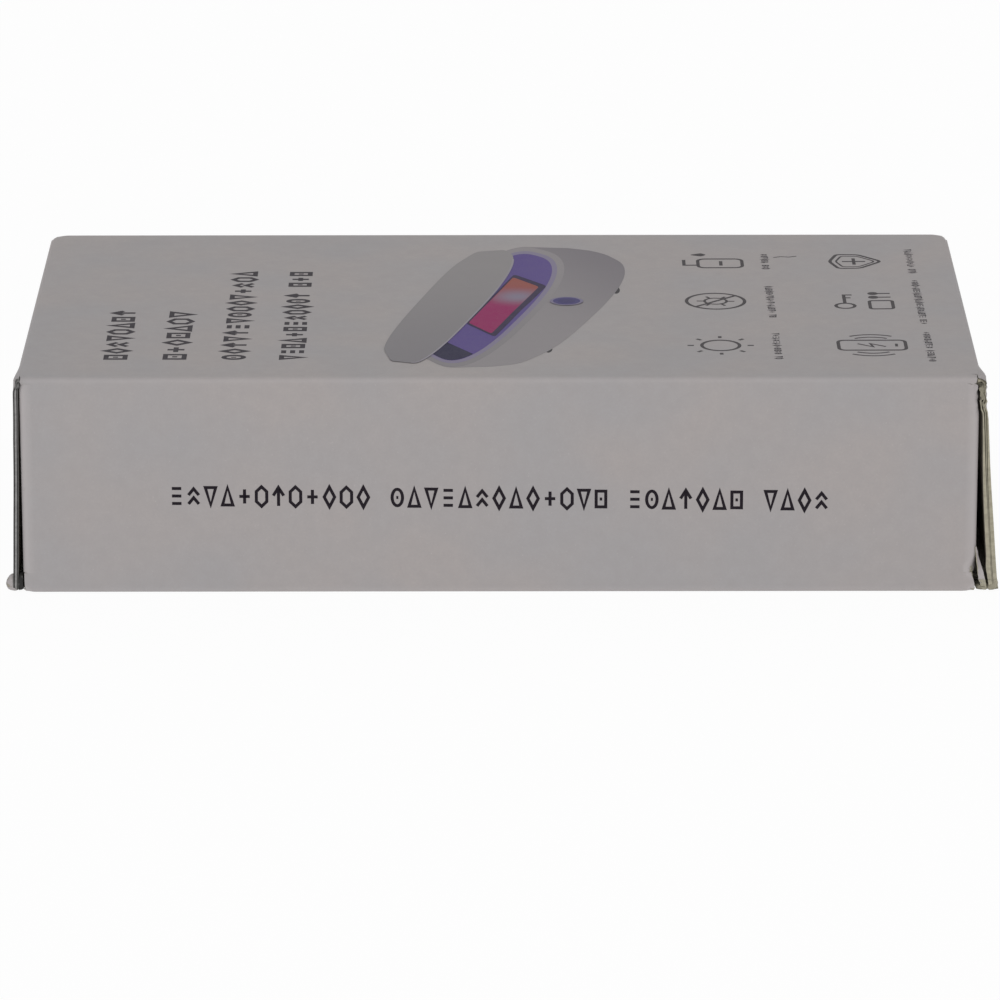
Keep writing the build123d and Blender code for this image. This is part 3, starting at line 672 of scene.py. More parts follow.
class BoardMesh:
    """Gathers closed slabs of one piece of board into a single mesh."""

    def __init__(self, knocks: Sequence[Knock] = (), core: BarePaper = MEDIUM) -> None:
        """Starts an empty mesh.

        Args:
            knocks: Damage that acts on every point.
            core: Paper of the waved medium and the cut edges.
        """
        self.knocks = knocks
        # No knock reaches a point nearer to the middle than this.
        self.calm = min((abs(k.place.x) - k.radius for k in knocks), default=math.inf)
        self.finishes = (PRINTED, core, INSIDE)
        self.points: list[Vector] = []
        self.faces: list[tuple[int, ...]] = []
        self.materials: list[int] = []
        self.wear: list[float] = []
        self.soil: list[float] = []

    def slab(self, rows: Grid, surface: Surface,
             low: AtPlace, high: AtPlace, upper: int, lower: int,
             wear: AtPoint | None = None, soil: AtPlace | None = None) -> None:
        """Adds a closed slab between two heights over a surface.

        Args:
            rows: Grid of (along, across) places; every row has as many.
            surface: Gives the middle surface's point and its outward normal.
            low: Height of the slab's lower face.
            high: Height of its upper face.
            upper: Material of the upper face; the cut edges show the medium.
            lower: Material of the lower face.
            wear: Extra rubbing at a point.
            soil: Darkening at a place of the grid.
        """
        width, base = len(rows[0]), len(self.points)
        for height in (high, low):
            for row in rows:
                for u, v in row:
                    middle, normal = surface(u, v)
                    point = middle + normal * height(u, v)
                    near = self.knocks if abs(point.x) > self.calm else ()
                    rub_and_highlight = max((k.wear * k.share(point)**3 for k in near), default=0.0)
                    # Painted shade: knocks darken their crumples.
                    painted_shade = max((k.soil * k.share(point)**2 for k in near), default=0.0)
                    self.wear.append(rub_and_highlight + (wear(point) if wear and height is high else 0.0))
                    self.soil.append(max(painted_shade, soil(u, v) if soil else 0.0))
                    self.points.append(self.knocked(point))
        count = width * len(rows)
        for i in range(len(rows) - 1):
            for j in range(width - 1):
                a = base + i * width + j
                self._face((a, a + 1, a + width + 1, a + width), upper)
                b = a + count
                self._face((b, b + width, b + width + 1, b + 1), lower)
        last = len(rows) - 1
        rim = list(range(width - 1)) + [i * width + width - 1 for i in range(last)]
        rim += [last * width + j for j in range(width - 1, 0, -1)] + [i * width for i in range(last, 0, -1)]
        for a, b in zip(rim, rim[1:] + rim[:1]):
            self._face((base + b, base + a, base + a + count, base + b + count), 1)

    def knocked(self, point: Vector) -> Vector:
        """Where the knocks leave a point, never below the ground."""
        if abs(point.x) < self.calm:
            return point
        moved = point + sum((k.shift(point) for k in self.knocks), Vector((0, 0, 0)))
        moved.z = max(moved.z, min(point.z, 0.05 * MM))
        return moved

    def roll(self, rings: Sequence[Sequence[Vector]], material: int, wear: AtPoint,
             soil: AtPoint) -> None:
        """Adds a closed body through a row of rings of points, capped at both ends.

        Args:
            rings: Its cross-sections, one after another.
            material: Material of the whole body.
            wear: Rubbing at a point.
            soil: Darkening at a point.
        """
        base, count = len(self.points), len(rings[0])
        for ring in rings:
            for point in ring:
                self.wear.append(wear(point))
                self.soil.append(soil(point))
                self.points.append(self.knocked(point))
        for i in range(len(rings) - 1):
            for j in range(count):
                a, b = base + i * count + j, base + i * count + (j + 1) % count
                self._face((a, b, b + count, a + count), material)
        self._face(tuple(base + j for j in range(count)), material)
        self._face(tuple(base + (len(rings) - 1) * count + j for j in reversed(range(count))), material)

    def _face(self, corners: tuple[int, ...], material: int) -> None:
        """Adds one face."""
        self.faces.append(corners)
        self.materials.append(material)

    def sheet(self, rows: Grid, wave_rows: Grid,
              surface: Surface,
              wear: AtPoint | None = None, soil: AtPlace | None = None,
              lift: AtPlace = lambda u, v: 0.0,
              crush: Callable[[float], float] = lambda v: 1.0) -> None:
        """Adds a piece of corrugated board: outer liner, waved medium and inner liner.

        Args:
            rows: Grid for the liners.
            wave_rows: Finer grid for the medium.
            surface: The board's middle surface.
            wear: Extra rubbing on the outer liner.
            soil: Darkening of the outer liner.
            lift: Height by which the outer liner stands off the medium.
            crush: Share of its thickness that the board keeps at a place across the flutes.
        """
        board = BOARD

        def pressed(height: float, v: float) -> float:
            return board.half - (board.half - height) * crush(v)

        self.slab(rows, surface, lambda u, v: pressed(board.half - board.liner, v) + lift(u, v),
                  lambda u, v: board.half + lift(u, v), 0, 1, wear, soil)
        self.slab(wave_rows, surface, lambda u, v: pressed(board.wave(v) - board.medium / 2, v),
                  lambda u, v: pressed(board.wave(v) + board.medium / 2, v), 1, 1)
        self.slab(rows, surface, lambda u, v: pressed(-board.half, v),
                  lambda u, v: pressed(board.liner - board.half, v), 1, 2)

    def build(self, name: str) -> Piece:
        """Makes the named piece, in the scene but not riding on anything yet."""
        mesh = bpy.data.meshes.new(name)
        mesh.from_pydata(self.points, [], self.faces)
        for key, values in (("wear", self.wear), ("soil", self.soil)):
            mesh.attributes.new(key, "FLOAT", "POINT").data.foreach_set("value", values)
        for finish in self.finishes:
            mesh.materials.append(finish.material())
        mesh.polygons.foreach_set("material_index", self.materials)
        face_outward(mesh)
        return place_in_scene(mesh)


def face_outward(mesh: bpy.types.Mesh, crease_degrees: float = 40.0) -> None:
    """Turns every closed shell's faces outward and shades it smooth between sharp edges."""
    shape = bmesh.new()
    shape.from_mesh(mesh)
    bmesh.ops.recalc_face_normals(shape, faces=shape.faces)
    shape.to_mesh(mesh)
    shape.free()
    mesh.shade_smooth()
    mesh.set_sharp_from_angle(angle=math.radians(crease_degrees))


def place_in_scene(mesh: bpy.types.Mesh) -> Piece:
    """Makes an object of a mesh, with the mesh's name, and puts it in the scene."""
    piece = bpy.data.objects.new(mesh.name, mesh)
    bpy.context.scene.collection.objects.link(piece)
    return piece


def ride_as(piece: Piece, body: str, slot: Slot, *nodes: str) -> Piece:
    """Lets a piece ride on a body and stand for nodes.

    Args:
        piece: The piece.
        body: Body that carries it.
        slot: The record's material slot; not used.
        *nodes: Nodes that it stands for.

    Returns:
        The piece.
    """
    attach(piece, body)
    if nodes:
        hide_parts(*nodes)
    LOG.info("%s rides on %s", piece.name, body)
    return piece


# ---- carton ----------------------------------------------


SEAM_BACK = 5.2 * MM  # from a closing flap's crease back to where the top board takes over


@dataclass(frozen=True)
class Lump:
    """A crumpled roll of board at a closing flap's foot or crease; sizes in mm."""

    ring: tuple[Point2, ...]     # cross-section, as outward distances and heights
    depth: float                 # length from the front edge towards the back
    fade: float                  # length over which it shrinks
    keep: float                  # share of its reach that is left at its back end
    material: int                # 0 printed liner, 1 cut paper
    wear: float
    # darkening of the roll, with noise: painted shade in its folds
    soil: float
    rough: float


EAR = Lump(((2.4, 4.3), (3.2, 4.0), (3.95, 3.2), (4.16, 2.1), (4.0, 1.1), (3.3, 0.45), (2.4, 0.25),
            (1.5, 0.25), (1.35, 0.6), (2.3, 0.9)), 129.0, 6.5, 0.2, 0, 0.22, 0.1, 0.1)
LEFT_KNUCKLE = Lump(((0.04, 4.3), (0.5, 4.6), (1.05, 4.3), (1.16, 2.4), (1.3, 0.9), (1.2, 0.3), (0.5, 0.22),
                     (0.02, 0.5)), 16.0, 8.0, 0.7, 1, 0.0, 1.15, 0.2)
RIGHT_FOOT = Lump(((3.2, 1.8), (4.2, 2.3), (4.9, 2.9), (5.3, 2.4), (5.42, 1.6), (5.1, 0.8), (4.5, 0.3),
                   (3.7, 0.22), (2.9, 0.3), (2.7, 1.0)), 129.0, 14.0, 0.6, 1, 0.0, 0.14, 0.09)
RIGHT_KNUCKLE = Lump(((0.04, 1.2), (0.9, 1.7), (1.8, 1.3), (2.6, 1.9), (3.1, 1.0), (2.8, 0.3), (1.3, 0.22),
                      (0.1, 0.3)), 16.0, 10.0, 0.8, 1, 0.0, 0.5, 0.14)
RIGHT_CREST = Lump(((0.5, 51.2), (1.2, 51.7), (1.8, 50.9), (1.55, 49.6), (1.85, 48.3), (1.3, 47.0),
                    (0.75, 47.6), (0.95, 49.0), (0.45, 50.0)), 5.0, 4.0, 0.4, 1, 0.0, 0.3, 0.2)
LEFT_CREST = Lump(((0.15, 51.5), (0.7, 51.95), (1.3, 51.6), (1.45, 50.8), (1.05, 50.1), (0.35, 50.3)),
                  4.0, 3.0, 0.4, 1, 0.0, 0.45, 0.14)


@dataclass(frozen=True)
class EndShape:
    """One end of the carton. Distances run outward from the end of the tube, heights from the ground."""

    end: End
    crease_out: float
    foot_out: float
    foot_z: float
    fold_z: float
    bow: float
    tuck_in: float
    parted: bool
    crest: Lump
    lumps: tuple[Lump, ...]

    @property
    def name(self) -> str:
        """The end's name in the names of bodies and nodes."""
        return self.end.name.lower()


@dataclass(frozen=True)
class Carton:
    """Sizes of the carton that all its pieces share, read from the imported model."""

    middle: float
    half_length: float
    half_depth: float
    height: float
    crease: float = 1.05 * MM       # outer radius of the four long creases
    wrap: float = 2.5 * MM          # how far the front and back boards run on round them
    fold: float = 0.75 * MM         # bend radius at the flaps, in the middle of the board
    upright_seam: float = -3.0 * MM  # where the front and back boards hand over to the dust flaps
    collar_end: float = -0.3 * MM   # where those boards end above and below the dust flaps
    flap_low: float = 4.9 * MM
    sag: float = 0.34 * MM          # dip of the top panel between its creases

    @classmethod
    def from_frame(cls) -> "Carton":
        """Reads the tube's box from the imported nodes."""
        low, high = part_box("bottom_panel")
        _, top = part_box("top_panel")
        return cls((low[0] + high[0]) / 2, (high[0] - low[0]) / 2, high[1], top[2])

    @property
    def flat(self) -> float:
        """Half the depth of the top and bottom boards, up to where the front and back boards take over."""
        return self.half_depth - self.wrap

    @property
    def flap_high(self) -> float:
        """Height of the dust flaps' upper edge."""
        return self.height - BOARD.thickness - 0.3 * MM

    def x(self, end: End, outward: float) -> float:
        """X at a distance out of the tube at one end."""
        return self.middle + end.value * (self.half_length + outward)

    def outward(self, x: float) -> float:
        """Distance out of the nearer end of the tube, negative inside it."""
        return abs(x - self.middle) - self.half_length

    def end_shape(self, end: End, bow: float, tuck_in: float, parted: bool, crest: Lump,
                  *lumps: Lump) -> EndShape:
        """Reads one end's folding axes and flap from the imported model.

        Args:
            end: Which end.
            bow: How far the closing flap bows in between its crease and its foot.
            tuck_in: How much further in its crease lies away from the front corner.
            parted: Whether its plies have come apart at the front edge.
            crest: Crumpled roll at its crease's front corner.
            *lumps: Crumpled rolls along its foot.

        Returns:
            The end's shape.
        """
        name = end.name.lower()
        places = {joint["name"]: joint.get("pos_m") for joint in frame["joints"]}
        crease = places[f"closing_flap_{name}_hinge"]
        fold = places[f"tuck_tongue_{name}_fold"]
        low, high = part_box(f"closing_flap_{name}")
        reach = self.outward(low[0] if end is End.LEFT else high[0])
        return EndShape(end, self.outward(crease[0]), reach - BOARD.half, low[2], fold[2], bow, tuck_in,
                        parted, crest, lumps)

    def top_dip(self, x: float, y: float) -> float:
        """How far the top panel lies below its highest level at a place; none at its creases."""
        inside = ease((-self.outward(x) - 3 * MM) / (22 * MM)) * ease((self.flat - abs(y)) / (30 * MM))
        swell = 0.55 + 0.45 * noise.noise(Vector((x * 21, y * 34, 3.7)))
        rear = 0.5 + 0.5 * y / self.half_depth
        return self.sag * inside * swell * (0.45 + 0.55 * rear)

    def top_z(self, x: float, y: float) -> float:
        """Height of the top panel's face at a place."""
        return self.height - self.top_dip(x, y)

    def side_dip(self, x: float, z: float) -> float:
        """How far the front and back panels lie inside their furthest plane."""
        inside = ease((-self.outward(x) - 3 * MM) / (20 * MM)) * ease(min(z, self.height - z) / (16 * MM))
        return 0.16 * MM * inside * (0.5 + 0.5 * noise.noise(Vector((x * 17, 9.1, z * 40))))


def grid(alongs: Sequence[float], acrosses: Sequence[float]) -> list[list[Point2]]:
    """Rectangular grid of (along, across) places."""
    return [[(u, v) for v in acrosses] for u in alongs]


def rounded_tip(left: float, radius: float) -> float:
    """How far a rounded tip's edge has drawn in where a given length is left."""
    return radius - math.sqrt(max(0.0, radius**2 - max(0.0, radius - left)**2))


def wave_stops(start: float, end: float, steps: int = 6) -> list[float]:
    """Stops across the flutes, fine enough to show each wave."""
    count = max(2, round(abs(end - start) / BOARD.pitch * steps) + 1)
    return spaced(start, end, count)


@dataclass
class TubeBoards:
    """The carton's four long panels and its glue flap."""

    carton: Carton
    ends: dict[End, EndShape]
    knocks: Sequence[Knock] = ()
    step: float = 5 * MM
    near: float = 8 * MM            # how far from each end the boards get finer faces

    def alongs(self, left: float, right: float) -> list[float]:
        """Stops along X between two distances out of the left and the right end."""
        start, end, near = self.carton.x(End.LEFT, left), self.carton.x(End.RIGHT, right), self.near
        middle = spaced(start + near, end - near, round((end - start - 2 * near) / self.step) + 1)
        return spaced(start, start + near, 14)[:-1] + middle + spaced(end - near, end, 14)[1:]

    def seam_out(self, end: End) -> float:
        """Where the top board hands over to a closing flap."""
        return self.ends[end].crease_out - SEAM_BACK

    def top(self) -> Piece:
        """Builds the display panel between its two long creases."""
        alongs = self.alongs(self.seam_out(End.LEFT), self.seam_out(End.RIGHT))

        def surface(x: float, y: float) -> Spot:
            return Vector((x, y, self.carton.top_z(x, y) - BOARD.half)), Vector((0, 0, 1))

        return self._wide_board("top", alongs, 41, surface)

    def bottom(self) -> Piece:
        """Builds the panel that the carton lies on."""

        def surface(x: float, y: float) -> Spot:
            return Vector((x, -y, BOARD.half)), Vector((0, 0, -1))

        return self._wide_board("bottom", self.alongs(0.0, 0.0), 21, surface)

    def _wide_board(self, side: str, alongs: Sequence[float], lines: int, surface: Surface) -> Piece:
        """Builds the top or bottom board, with a number of grid lines between its long creases."""
        flat, piece = self.carton.flat, BoardMesh(self.knocks)
        piece.sheet(grid(alongs, spaced(-flat, flat, lines)), grid(alongs, wave_stops(-flat, flat)), surface)
        return ride_as(piece.build(f"{side}_board"), "root", Slot.PRINTED_BOARD, f"{side}_panel")

    def side(self, row: Row) -> Piece:
        """Builds the front or back panel, which runs round both its long creases."""
        box = self.carton
        inset, flat = BOARD.half, box.flat
        line = FoldedLine([(-flat, inset), (-box.half_depth + inset, inset),
                           (-box.half_depth + inset, box.height - inset), (-flat, box.height - inset)],
                          [box.crease - inset] * 2)

        def surface(x: float, s: float) -> Spot:
            point, normal = line.at(s)
            depth = point - normal * box.side_dip(x, point.y)
            return Vector((x, -row.value * depth.x, depth.y)), Vector((0, -row.value * normal.x, normal.y))

        arc = (box.crease - inset) * math.pi / 2
        corner = box.wrap - box.crease + arc / 2
        upright = corner + arc / 2 - box.crease
        bands = [(0.0, upright + box.flap_low), (upright + box.flap_high, line.length)]
        worn = spaced(0.0, 15 * MM, 26) + spaced(line.length - 17 * MM, line.length, 29)
        stops = sorted({*line.stops(2.5 * MM, 0.12 * MM), *worn})

        def crush(s: float) -> float:
            near = min(abs(s - corner), abs(line.length - s - corner))
            return 1 - 0.45 * (1 - ease(near / (1.2 * MM)))

        # Painted highlight: lightens the outer liner within about a millimetre of the long creases, with rare
        # scuffs where noise pushes it over.
        def rub_and_highlight(point: Vector) -> float:
            reach = max(box.half_depth - abs(point.y), min(point.z, box.height - point.z))
            return 0.06 * (1 - ease((reach - 0.6 * MM) / (1.0 * MM)))

        piece = BoardMesh(self.knocks)
        seam = box.upright_seam
        self._strip(piece, surface, self.alongs(seam, seam), stops, crush, rub_and_highlight)
        for first, last in bands:
            band = [first] + [s for s in stops if first < s < last] + [last]
            for end in End:
                near, far = sorted((box.x(end, seam), box.x(end, box.collar_end)))
                self._strip(piece, surface, spaced(near, far, 4), band, crush, rub_and_highlight)
        name = row.name.lower()
        return ride_as(piece.build(f"{name}_board"), "root", Slot.PRINTED_BOARD, f"{name}_panel")

    @staticmethod
    def _strip(piece: BoardMesh, surface: Surface, alongs: Sequence[float],
               acrosses: Sequence[float], crush: Callable[[float], float], rub_and_highlight: AtPoint) -> None:
        """Adds a strip of board over a span of X and of the line round the tube."""
        waves = sorted({*acrosses, *wave_stops(acrosses[0], acrosses[-1])})
        piece.sheet(grid(alongs, acrosses), grid(alongs, waves), surface, wear=rub_and_highlight, crush=crush)

    def glue_flap(self) -> Piece:
        """Builds the flap that joins the tube, inside the back panel."""
        low, high = (Vector(c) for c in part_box("glue_flap"))
        alongs = spaced(low.x, high.x, 40)

        def surface(x: float, z: float) -> Spot:
            return Vector((x, (low.y + high.y) / 2, z)), Vector((0, 1, 0))

        piece = BoardMesh()
        piece.sheet(grid(alongs, spaced(low.z, high.z, 5)), grid(alongs, wave_stops(low.z, high.z)), surface)
        return ride_as(piece.build("glue_flap_board"), "root", Slot.BOARD_INSIDE, "glue_flap")

    def torn_strip(self) -> Piece:
        """Builds the strip of liner that has torn off the front panel's lower right corner."""
        path = ((-0.15, 11.2, 0.25), (0.1, 9.6, 0.5), (0.42, 7.8, 0.8), (0.85, 5.9, 1.15), (1.12, 4.5, 1.35),
                (1.45, 3.1, 1.4), (1.8, 1.8, 1.3), (2.0, 1.0, 0.95), (2.05, 0.6, 0.5))
        box = self.carton

        def surface(t: float, share: float) -> Spot:
            i = min(int(t), len(path) - 2)
            part = ease(t - i)
            out, z, width = (a + (b - a) * part for a, b in zip(path[i], path[i + 1]))
            twist = math.radians(18 + 30 * math.sin(0.8 * t))
            across = share * width / 2
            cosine, sine = math.cos(twist), math.sin(twist)
            place = Vector((box.x(End.RIGHT, (out + across * cosine) * MM),
                            -box.half_depth + (0.25 + 0.2 * math.sin(1.3 * t) + across * sine) * MM,
                            (z + 0.35 * across) * MM))
            return place + noise.noise_vector(place / (0.7 * MM)) * 0.1 * MM, Vector((sine, -cosine, 0))

        piece = BoardMesh()
        piece.slab(grid(spaced(0.0, len(path) - 1.001, 50), spaced(-1, 1, 7)), surface,
                   lambda t, v: -0.14 * MM, lambda t, v: 0.14 * MM, 0, 1,
                   wear=lambda p: 0.72 * (1 - ease((p.z - 1.5 * MM) / (6 * MM))))
        return ride_as(piece.build("torn_liner_strip"), "root", Slot.PRINTED_BOARD)

    def build(self) -> None:
        """Builds all five, and the strip that has torn off."""
        self.top()
        self.bottom()
        self.side(Row.FRONT)
        self.side(Row.BACK)
        self.glue_flap()
        self.torn_strip()


@dataclass
class EndFlaps:
    """The flaps that close one end: two dust flaps, the closing flap and its tuck tongue."""

    carton: Carton
    shape: EndShape
    knocks: Sequence[Knock] = ()
    dust_tip: float = 6 * MM
    dust_taper_low: float = math.tan(math.radians(7))
    dust_taper_high: float = math.tan(math.radians(25.5))
    closing_trim: float = 0.4 * MM
    widening: float = 0.3 * MM
    tongue_trim: float = 3.6 * MM
    tongue_tip: float = 6 * MM

    def point(self, out: float, y: float, z: float) -> Vector:
        """A point by its distance out of the tube, Y and Z."""
        return Vector((self.carton.x(self.shape.end, out), y, z))

    def way(self, out: float, y: float, z: float) -> Vector:
        """A direction by its outward, Y and Z parts."""
        return Vector((self.shape.end.value * out, y, z))

    def dust_flap(self, row: Row) -> Piece:
        """Builds the dust flap folded in from the front or back, with its fold."""
        box, name = self.carton, f"dust_flap_{row.name.lower()}_{self.shape.name}"
        low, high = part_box(name)
        wall = box.half_depth - BOARD.half
        tip = min(abs(low[1]), abs(high[1]))
        out = -BOARD.half
        line = FoldedLine([(box.upright_seam, wall), (out, wall), (out, tip)], [box.fold])
        root = line.length - (wall - tip) - 0.2 * MM

        def surface(s: float, z: float) -> Spot:
            point, normal = line.at(s)
            dip = box.side_dip(box.x(self.shape.end, point.x), z) * (1 - ease(s / (2 * MM)))
            unrest = noise.noise(Vector((s * 60, z * 60, 1.3 * row.value)))
            lean = 0.25 * MM * ease((s - root) / (20 * MM)) * unrest
            place = self.point(point.x, row.value * point.y, z)
            facing = self.way(normal.x, row.value * normal.y, 0)
            return place - facing * (dip + abs(lean)), facing

        def span(s: float) -> tuple[float, float]:
            past = max(0.0, s - root)
            corner = rounded_tip(max(0.0, line.length - s), self.dust_tip)
            return (box.flap_low + past * self.dust_taper_low + corner,
                    box.flap_high - past * self.dust_taper_high - corner)

        stops = line.stops(2.5 * MM, 0.2 * MM)
        stops = [s for s in stops if s < line.length - self.dust_tip]
        stops += spaced(line.length - self.dust_tip, line.length, 12)

        def rows(count: int) -> Grid:
            return [[(s, a + (b - a) * i / count) for i in range(count + 1)]
                    for s in stops for a, b in [span(s)]]

        waves = round((box.flap_high - box.flap_low) / BOARD.pitch * 8)

        # Painted highlight: lightens the dust flap's outer liner along its fold at the tube's corner, with
        # rare scuffs.
        def rub_and_highlight(point: Vector) -> float:
            past = box.half_depth - abs(point.y) + max(0.0, -0.4 * MM - box.outward(point.x))
            return 0.13 * (1 - ease((past - 0.5 * MM) / (1.4 * MM)))

        piece = BoardMesh(self.knocks)
        piece.sheet(rows(60), rows(waves), surface, wear=rub_and_highlight)
        board = piece.build(f"{name}_board")
        height = (box.flap_low + box.flap_high) / 2
        return self._blend(board, "root", name, (-1.6 * MM, row.value * box.half_depth, height),
                           (0.0, row.value * (box.half_depth - 1.6 * MM), height))

    def _blend(self, piece: Piece, first: str, second: str, start: Sequence[float],
               end: Sequence[float]) -> Piece:
        """Bakes a piece's placement into its mesh and lets it stand for the node named like the second body.

        Args:
            piece: The piece.
            first: Body named in the log.
            second: Node that the piece stands for, also named in the log.
            start: Where a bend would start, as outward, Y and Z; not used.
            end: Where a bend would end; not used.

        Returns:
            The piece.
        """
        tuple(self.point(*start))
        tuple(self.point(*end))
        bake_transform(piece)
        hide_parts(second)
        LOG.info("%s bends between %s and %s", piece.name, first, second)
        return piece

    def half_width(self, out: float) -> float:
        """Half the closing flap's width, which grows once it is clear of the tube's corners."""
        box = self.carton
        wide = box.half_depth - self.closing_trim
        return box.flat + (wide - box.flat) * ease((out + self.widening) / self.widening)

    def closing_line(self) -> FoldedLine:
        """Middle of the closing flap's board, from the top panel over the crease to its foot."""
        shape, top = self.shape, self.carton.height - BOARD.half
        corner = (shape.crease_out, top)
        return FoldedLine([(shape.crease_out - SEAM_BACK, top), corner, (shape.foot_out, shape.foot_z)],
                          [self.carton.fold])

    def closing_flap(self) -> Piece:
        """Builds the flap that hangs from the top panel, with its crease."""
        box, shape = self.carton, self.shape
        line = self.closing_line()
        flat = SEAM_BACK - box.fold
        drop = line.length - SEAM_BACK

        def tuck(s: float, share: float) -> float:
            near_front = ease((1 + share) * box.flat / (13 * MM))
            back = ease((s - flat * 0.04) / (flat * 0.96)) * (1 - ease((s - SEAM_BACK) / (0.75 * drop)))
            return shape.tuck_in * back * (0.12 + 0.88 * near_front)

        def surface(s: float, share: float) -> Spot:
            point, normal = line.at(s)
            out = point.x - tuck(s, share)
            fall = min(1.0, max(0.0, (s - SEAM_BACK) / drop))
            bow = shape.bow * 4 * fall * (1 - fall)
            y = share * self.half_width(out)
            unrest = noise.noise(Vector((s * 30, y * 25, 7.7)))
            swing = 0.35 * MM * ease(fall * 3) * ease((1 - fall) * 4) * unrest
            dip = box.top_dip(box.x(shape.end, out), y) * (1 - ease(s / flat))
            facing = self.way(normal.x, 0, normal.y)
            return self.point(out, y, point.y) - facing * (bow + dip + abs(swing)), facing

        def opened(s: float) -> float:
            return ease((s - SEAM_BACK) / (0.8 * drop)) if shape.parted else ease((s - SEAM_BACK) / (3 * MM))

        stops = line.stops(2.5 * MM, 0.12 * MM)
        stops = sorted({*stops, *spaced(flat - 3 * MM, flat - 0.2 * MM, 16), *spaced(SEAM_BACK + 0.4 * MM,
                        SEAM_BACK + 14 * MM, 28), *spaced(line.length - 6 * MM, line.length, 12)})
        piece = BoardMesh(self.knocks, self.core)
        self._closing_sheet(piece, stops, surface, opened)
        self._lump(piece, shape.crest)
        board = piece.build(f"closing_flap_{shape.name}_board")
        reach = 3.6 * MM / math.sqrt(2)
        start = (shape.crease_out - 1.2 * MM - shape.tuck_in / 2, 0.0, box.height)
        return self._blend(board, "root", f"closing_flap_{shape.name}", start,
                           (start[0] + reach, 0.0, start[2] - reach))

    def _closing_sheet(self, piece: BoardMesh, stops: Sequence[float],
                       surface: Surface,
                       opened: Callable[[float], float]) -> None:
        """Adds the closing flap's three plies; the second grid value is a share of its half width.

        Args:
            piece: Mesh to add to.
            stops: Distances along the flap.
            surface: Middle of the board.
            opened: How far the worn front edge has opened at a distance along the flap, 0 to 1.
        """
        board, parted = BOARD, self.shape.parted
        shares = spaced(-1, -0.93, 15) + spaced(-0.92, -0.78, 9) + spaced(-0.74, 1, 36)
        rows = grid(stops, shares)
        waves = 2 * self.carton.half_depth / board.pitch
        fine = grid(stops, spaced(-1, 1, round(6 * waves) + 1))
        swing = board.wave(0.25 * board.pitch)

        def worn(s: float, v: float) -> float:
            return opened(s) * (1 - ease((1 + v) * self.carton.half_depth / (22 * MM)))

        def outer(s: float, v: float) -> float:
            return board.half * (1 + 0.8 * parted * worn(s, v))

        def blend(first: float, second: float, s: float, v: float) -> float:
            return first + (second - first) * min(1.0, worn(s, v))

        def wave(s: float, v: float, side: int) -> float:
            thick = blend(board.medium, board.medium if parted else 0.46 * MM, s, v)
            return swing * (1 - 0.8 * worn(s, v)) * math.sin(waves * math.pi * v) + side * thick / 2

        # Darkens the flap by its front edge: on the parted end, painted shade in the cracked crease; on the
        # other end, a darker worn front edge.
        def soil(s: float, v: float) -> float:
            at_edge = (1 + v) * self.carton.half_depth
            if parted:
                return self.crease_shade(s) * (1 - ease(at_edge / (0.45 * MM)))
            return 0.62 * min(1.0, 2 * opened(s)) * (1 - ease((at_edge - 0.2 * MM) / (1.4 * MM)))

        kept = 0.16 * MM if parted else board.half - board.liner
        face = board.half - board.liner
        piece.slab(rows, surface, lambda s, v: blend(face, kept, s, v), outer, 0, 1, soil=soil)
        piece.slab(fine, surface, lambda s, v: wave(s, v, -1), lambda s, v: wave(s, v, 1), 1, 1)
        piece.slab(rows, surface, lambda s, v: -outer(s, v), lambda s, v: blend(-face, -kept, s, v), 1, 2,
                   soil=soil)

    @staticmethod
    def crease_shade(s: float) -> float:
        """Painted shade in the cracked crease beside the front corner, at a distance along the closing flap.
        """
        return 0.85 * ease((s - 1.2 * MM) / (2 * MM)) * (1 - ease((s - SEAM_BACK) / (1.5 * MM)))

    def foot_line(self) -> FoldedLine:
        """Middle of the board from the closing flap's foot down to the ground."""
        shape = self.shape
        lower = (shape.foot_out + (0.35 if shape.parted else 0.12) * MM, 0.55 * MM)
        return FoldedLine([(shape.foot_out, shape.foot_z), lower], [])

    def tongue(self) -> Piece:
        """Builds the folded foot of the closing flap, its roll and the tongue tucked into the tube."""
        shape, box = self.shape, self.carton
        low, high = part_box(f"tuck_tongue_{shape.name}")
        tip = (box.outward(high[0] if shape.end is End.LEFT else low[0]), high[2] - BOARD.half)
        wide, narrow = box.half_depth - self.closing_trim, box.half_depth - self.tongue_trim
        foot = self.foot_line()
        piece = BoardMesh(self.knocks, self.core)

        def skirt(s: float, share: float) -> Spot:
            point, normal = foot.at(s)
            return self.point(point.x, share * wide, point.y), self.way(normal.x, 0, normal.y)

        self._closing_sheet(piece, spaced(0.0, foot.length, 6), skirt, lambda s: 1.0)
        start, _ = foot.at(foot.length - shape.fold_z)
        leaf = FoldedLine([(start.x - 0.5 * MM, start.y), tip], [])

        def tongue(s: float, share: float) -> Spot:
            point, normal = leaf.at(s)
            corner = rounded_tip(max(0.0, leaf.length - s), self.tongue_tip)
            return self.point(point.x, share * (narrow - corner), point.y), self.way(normal.x, 0, normal.y)

        # Painted shade: darkens the tongue along its front edge next to the fold, inside the carton's end.
        def painted_shade(s: float, v: float) -> float:
            at_edge = 1 - ease(((1 + v) * narrow - 0.5 * MM) / (5 * MM))
            return 0.88 * at_edge * (1 - ease((s - 5 * MM) / (5 * MM)))

        def wave(v: float, side: int) -> float:
            return board.wave(v * waves * board.pitch / 12) + side * board.medium / 2

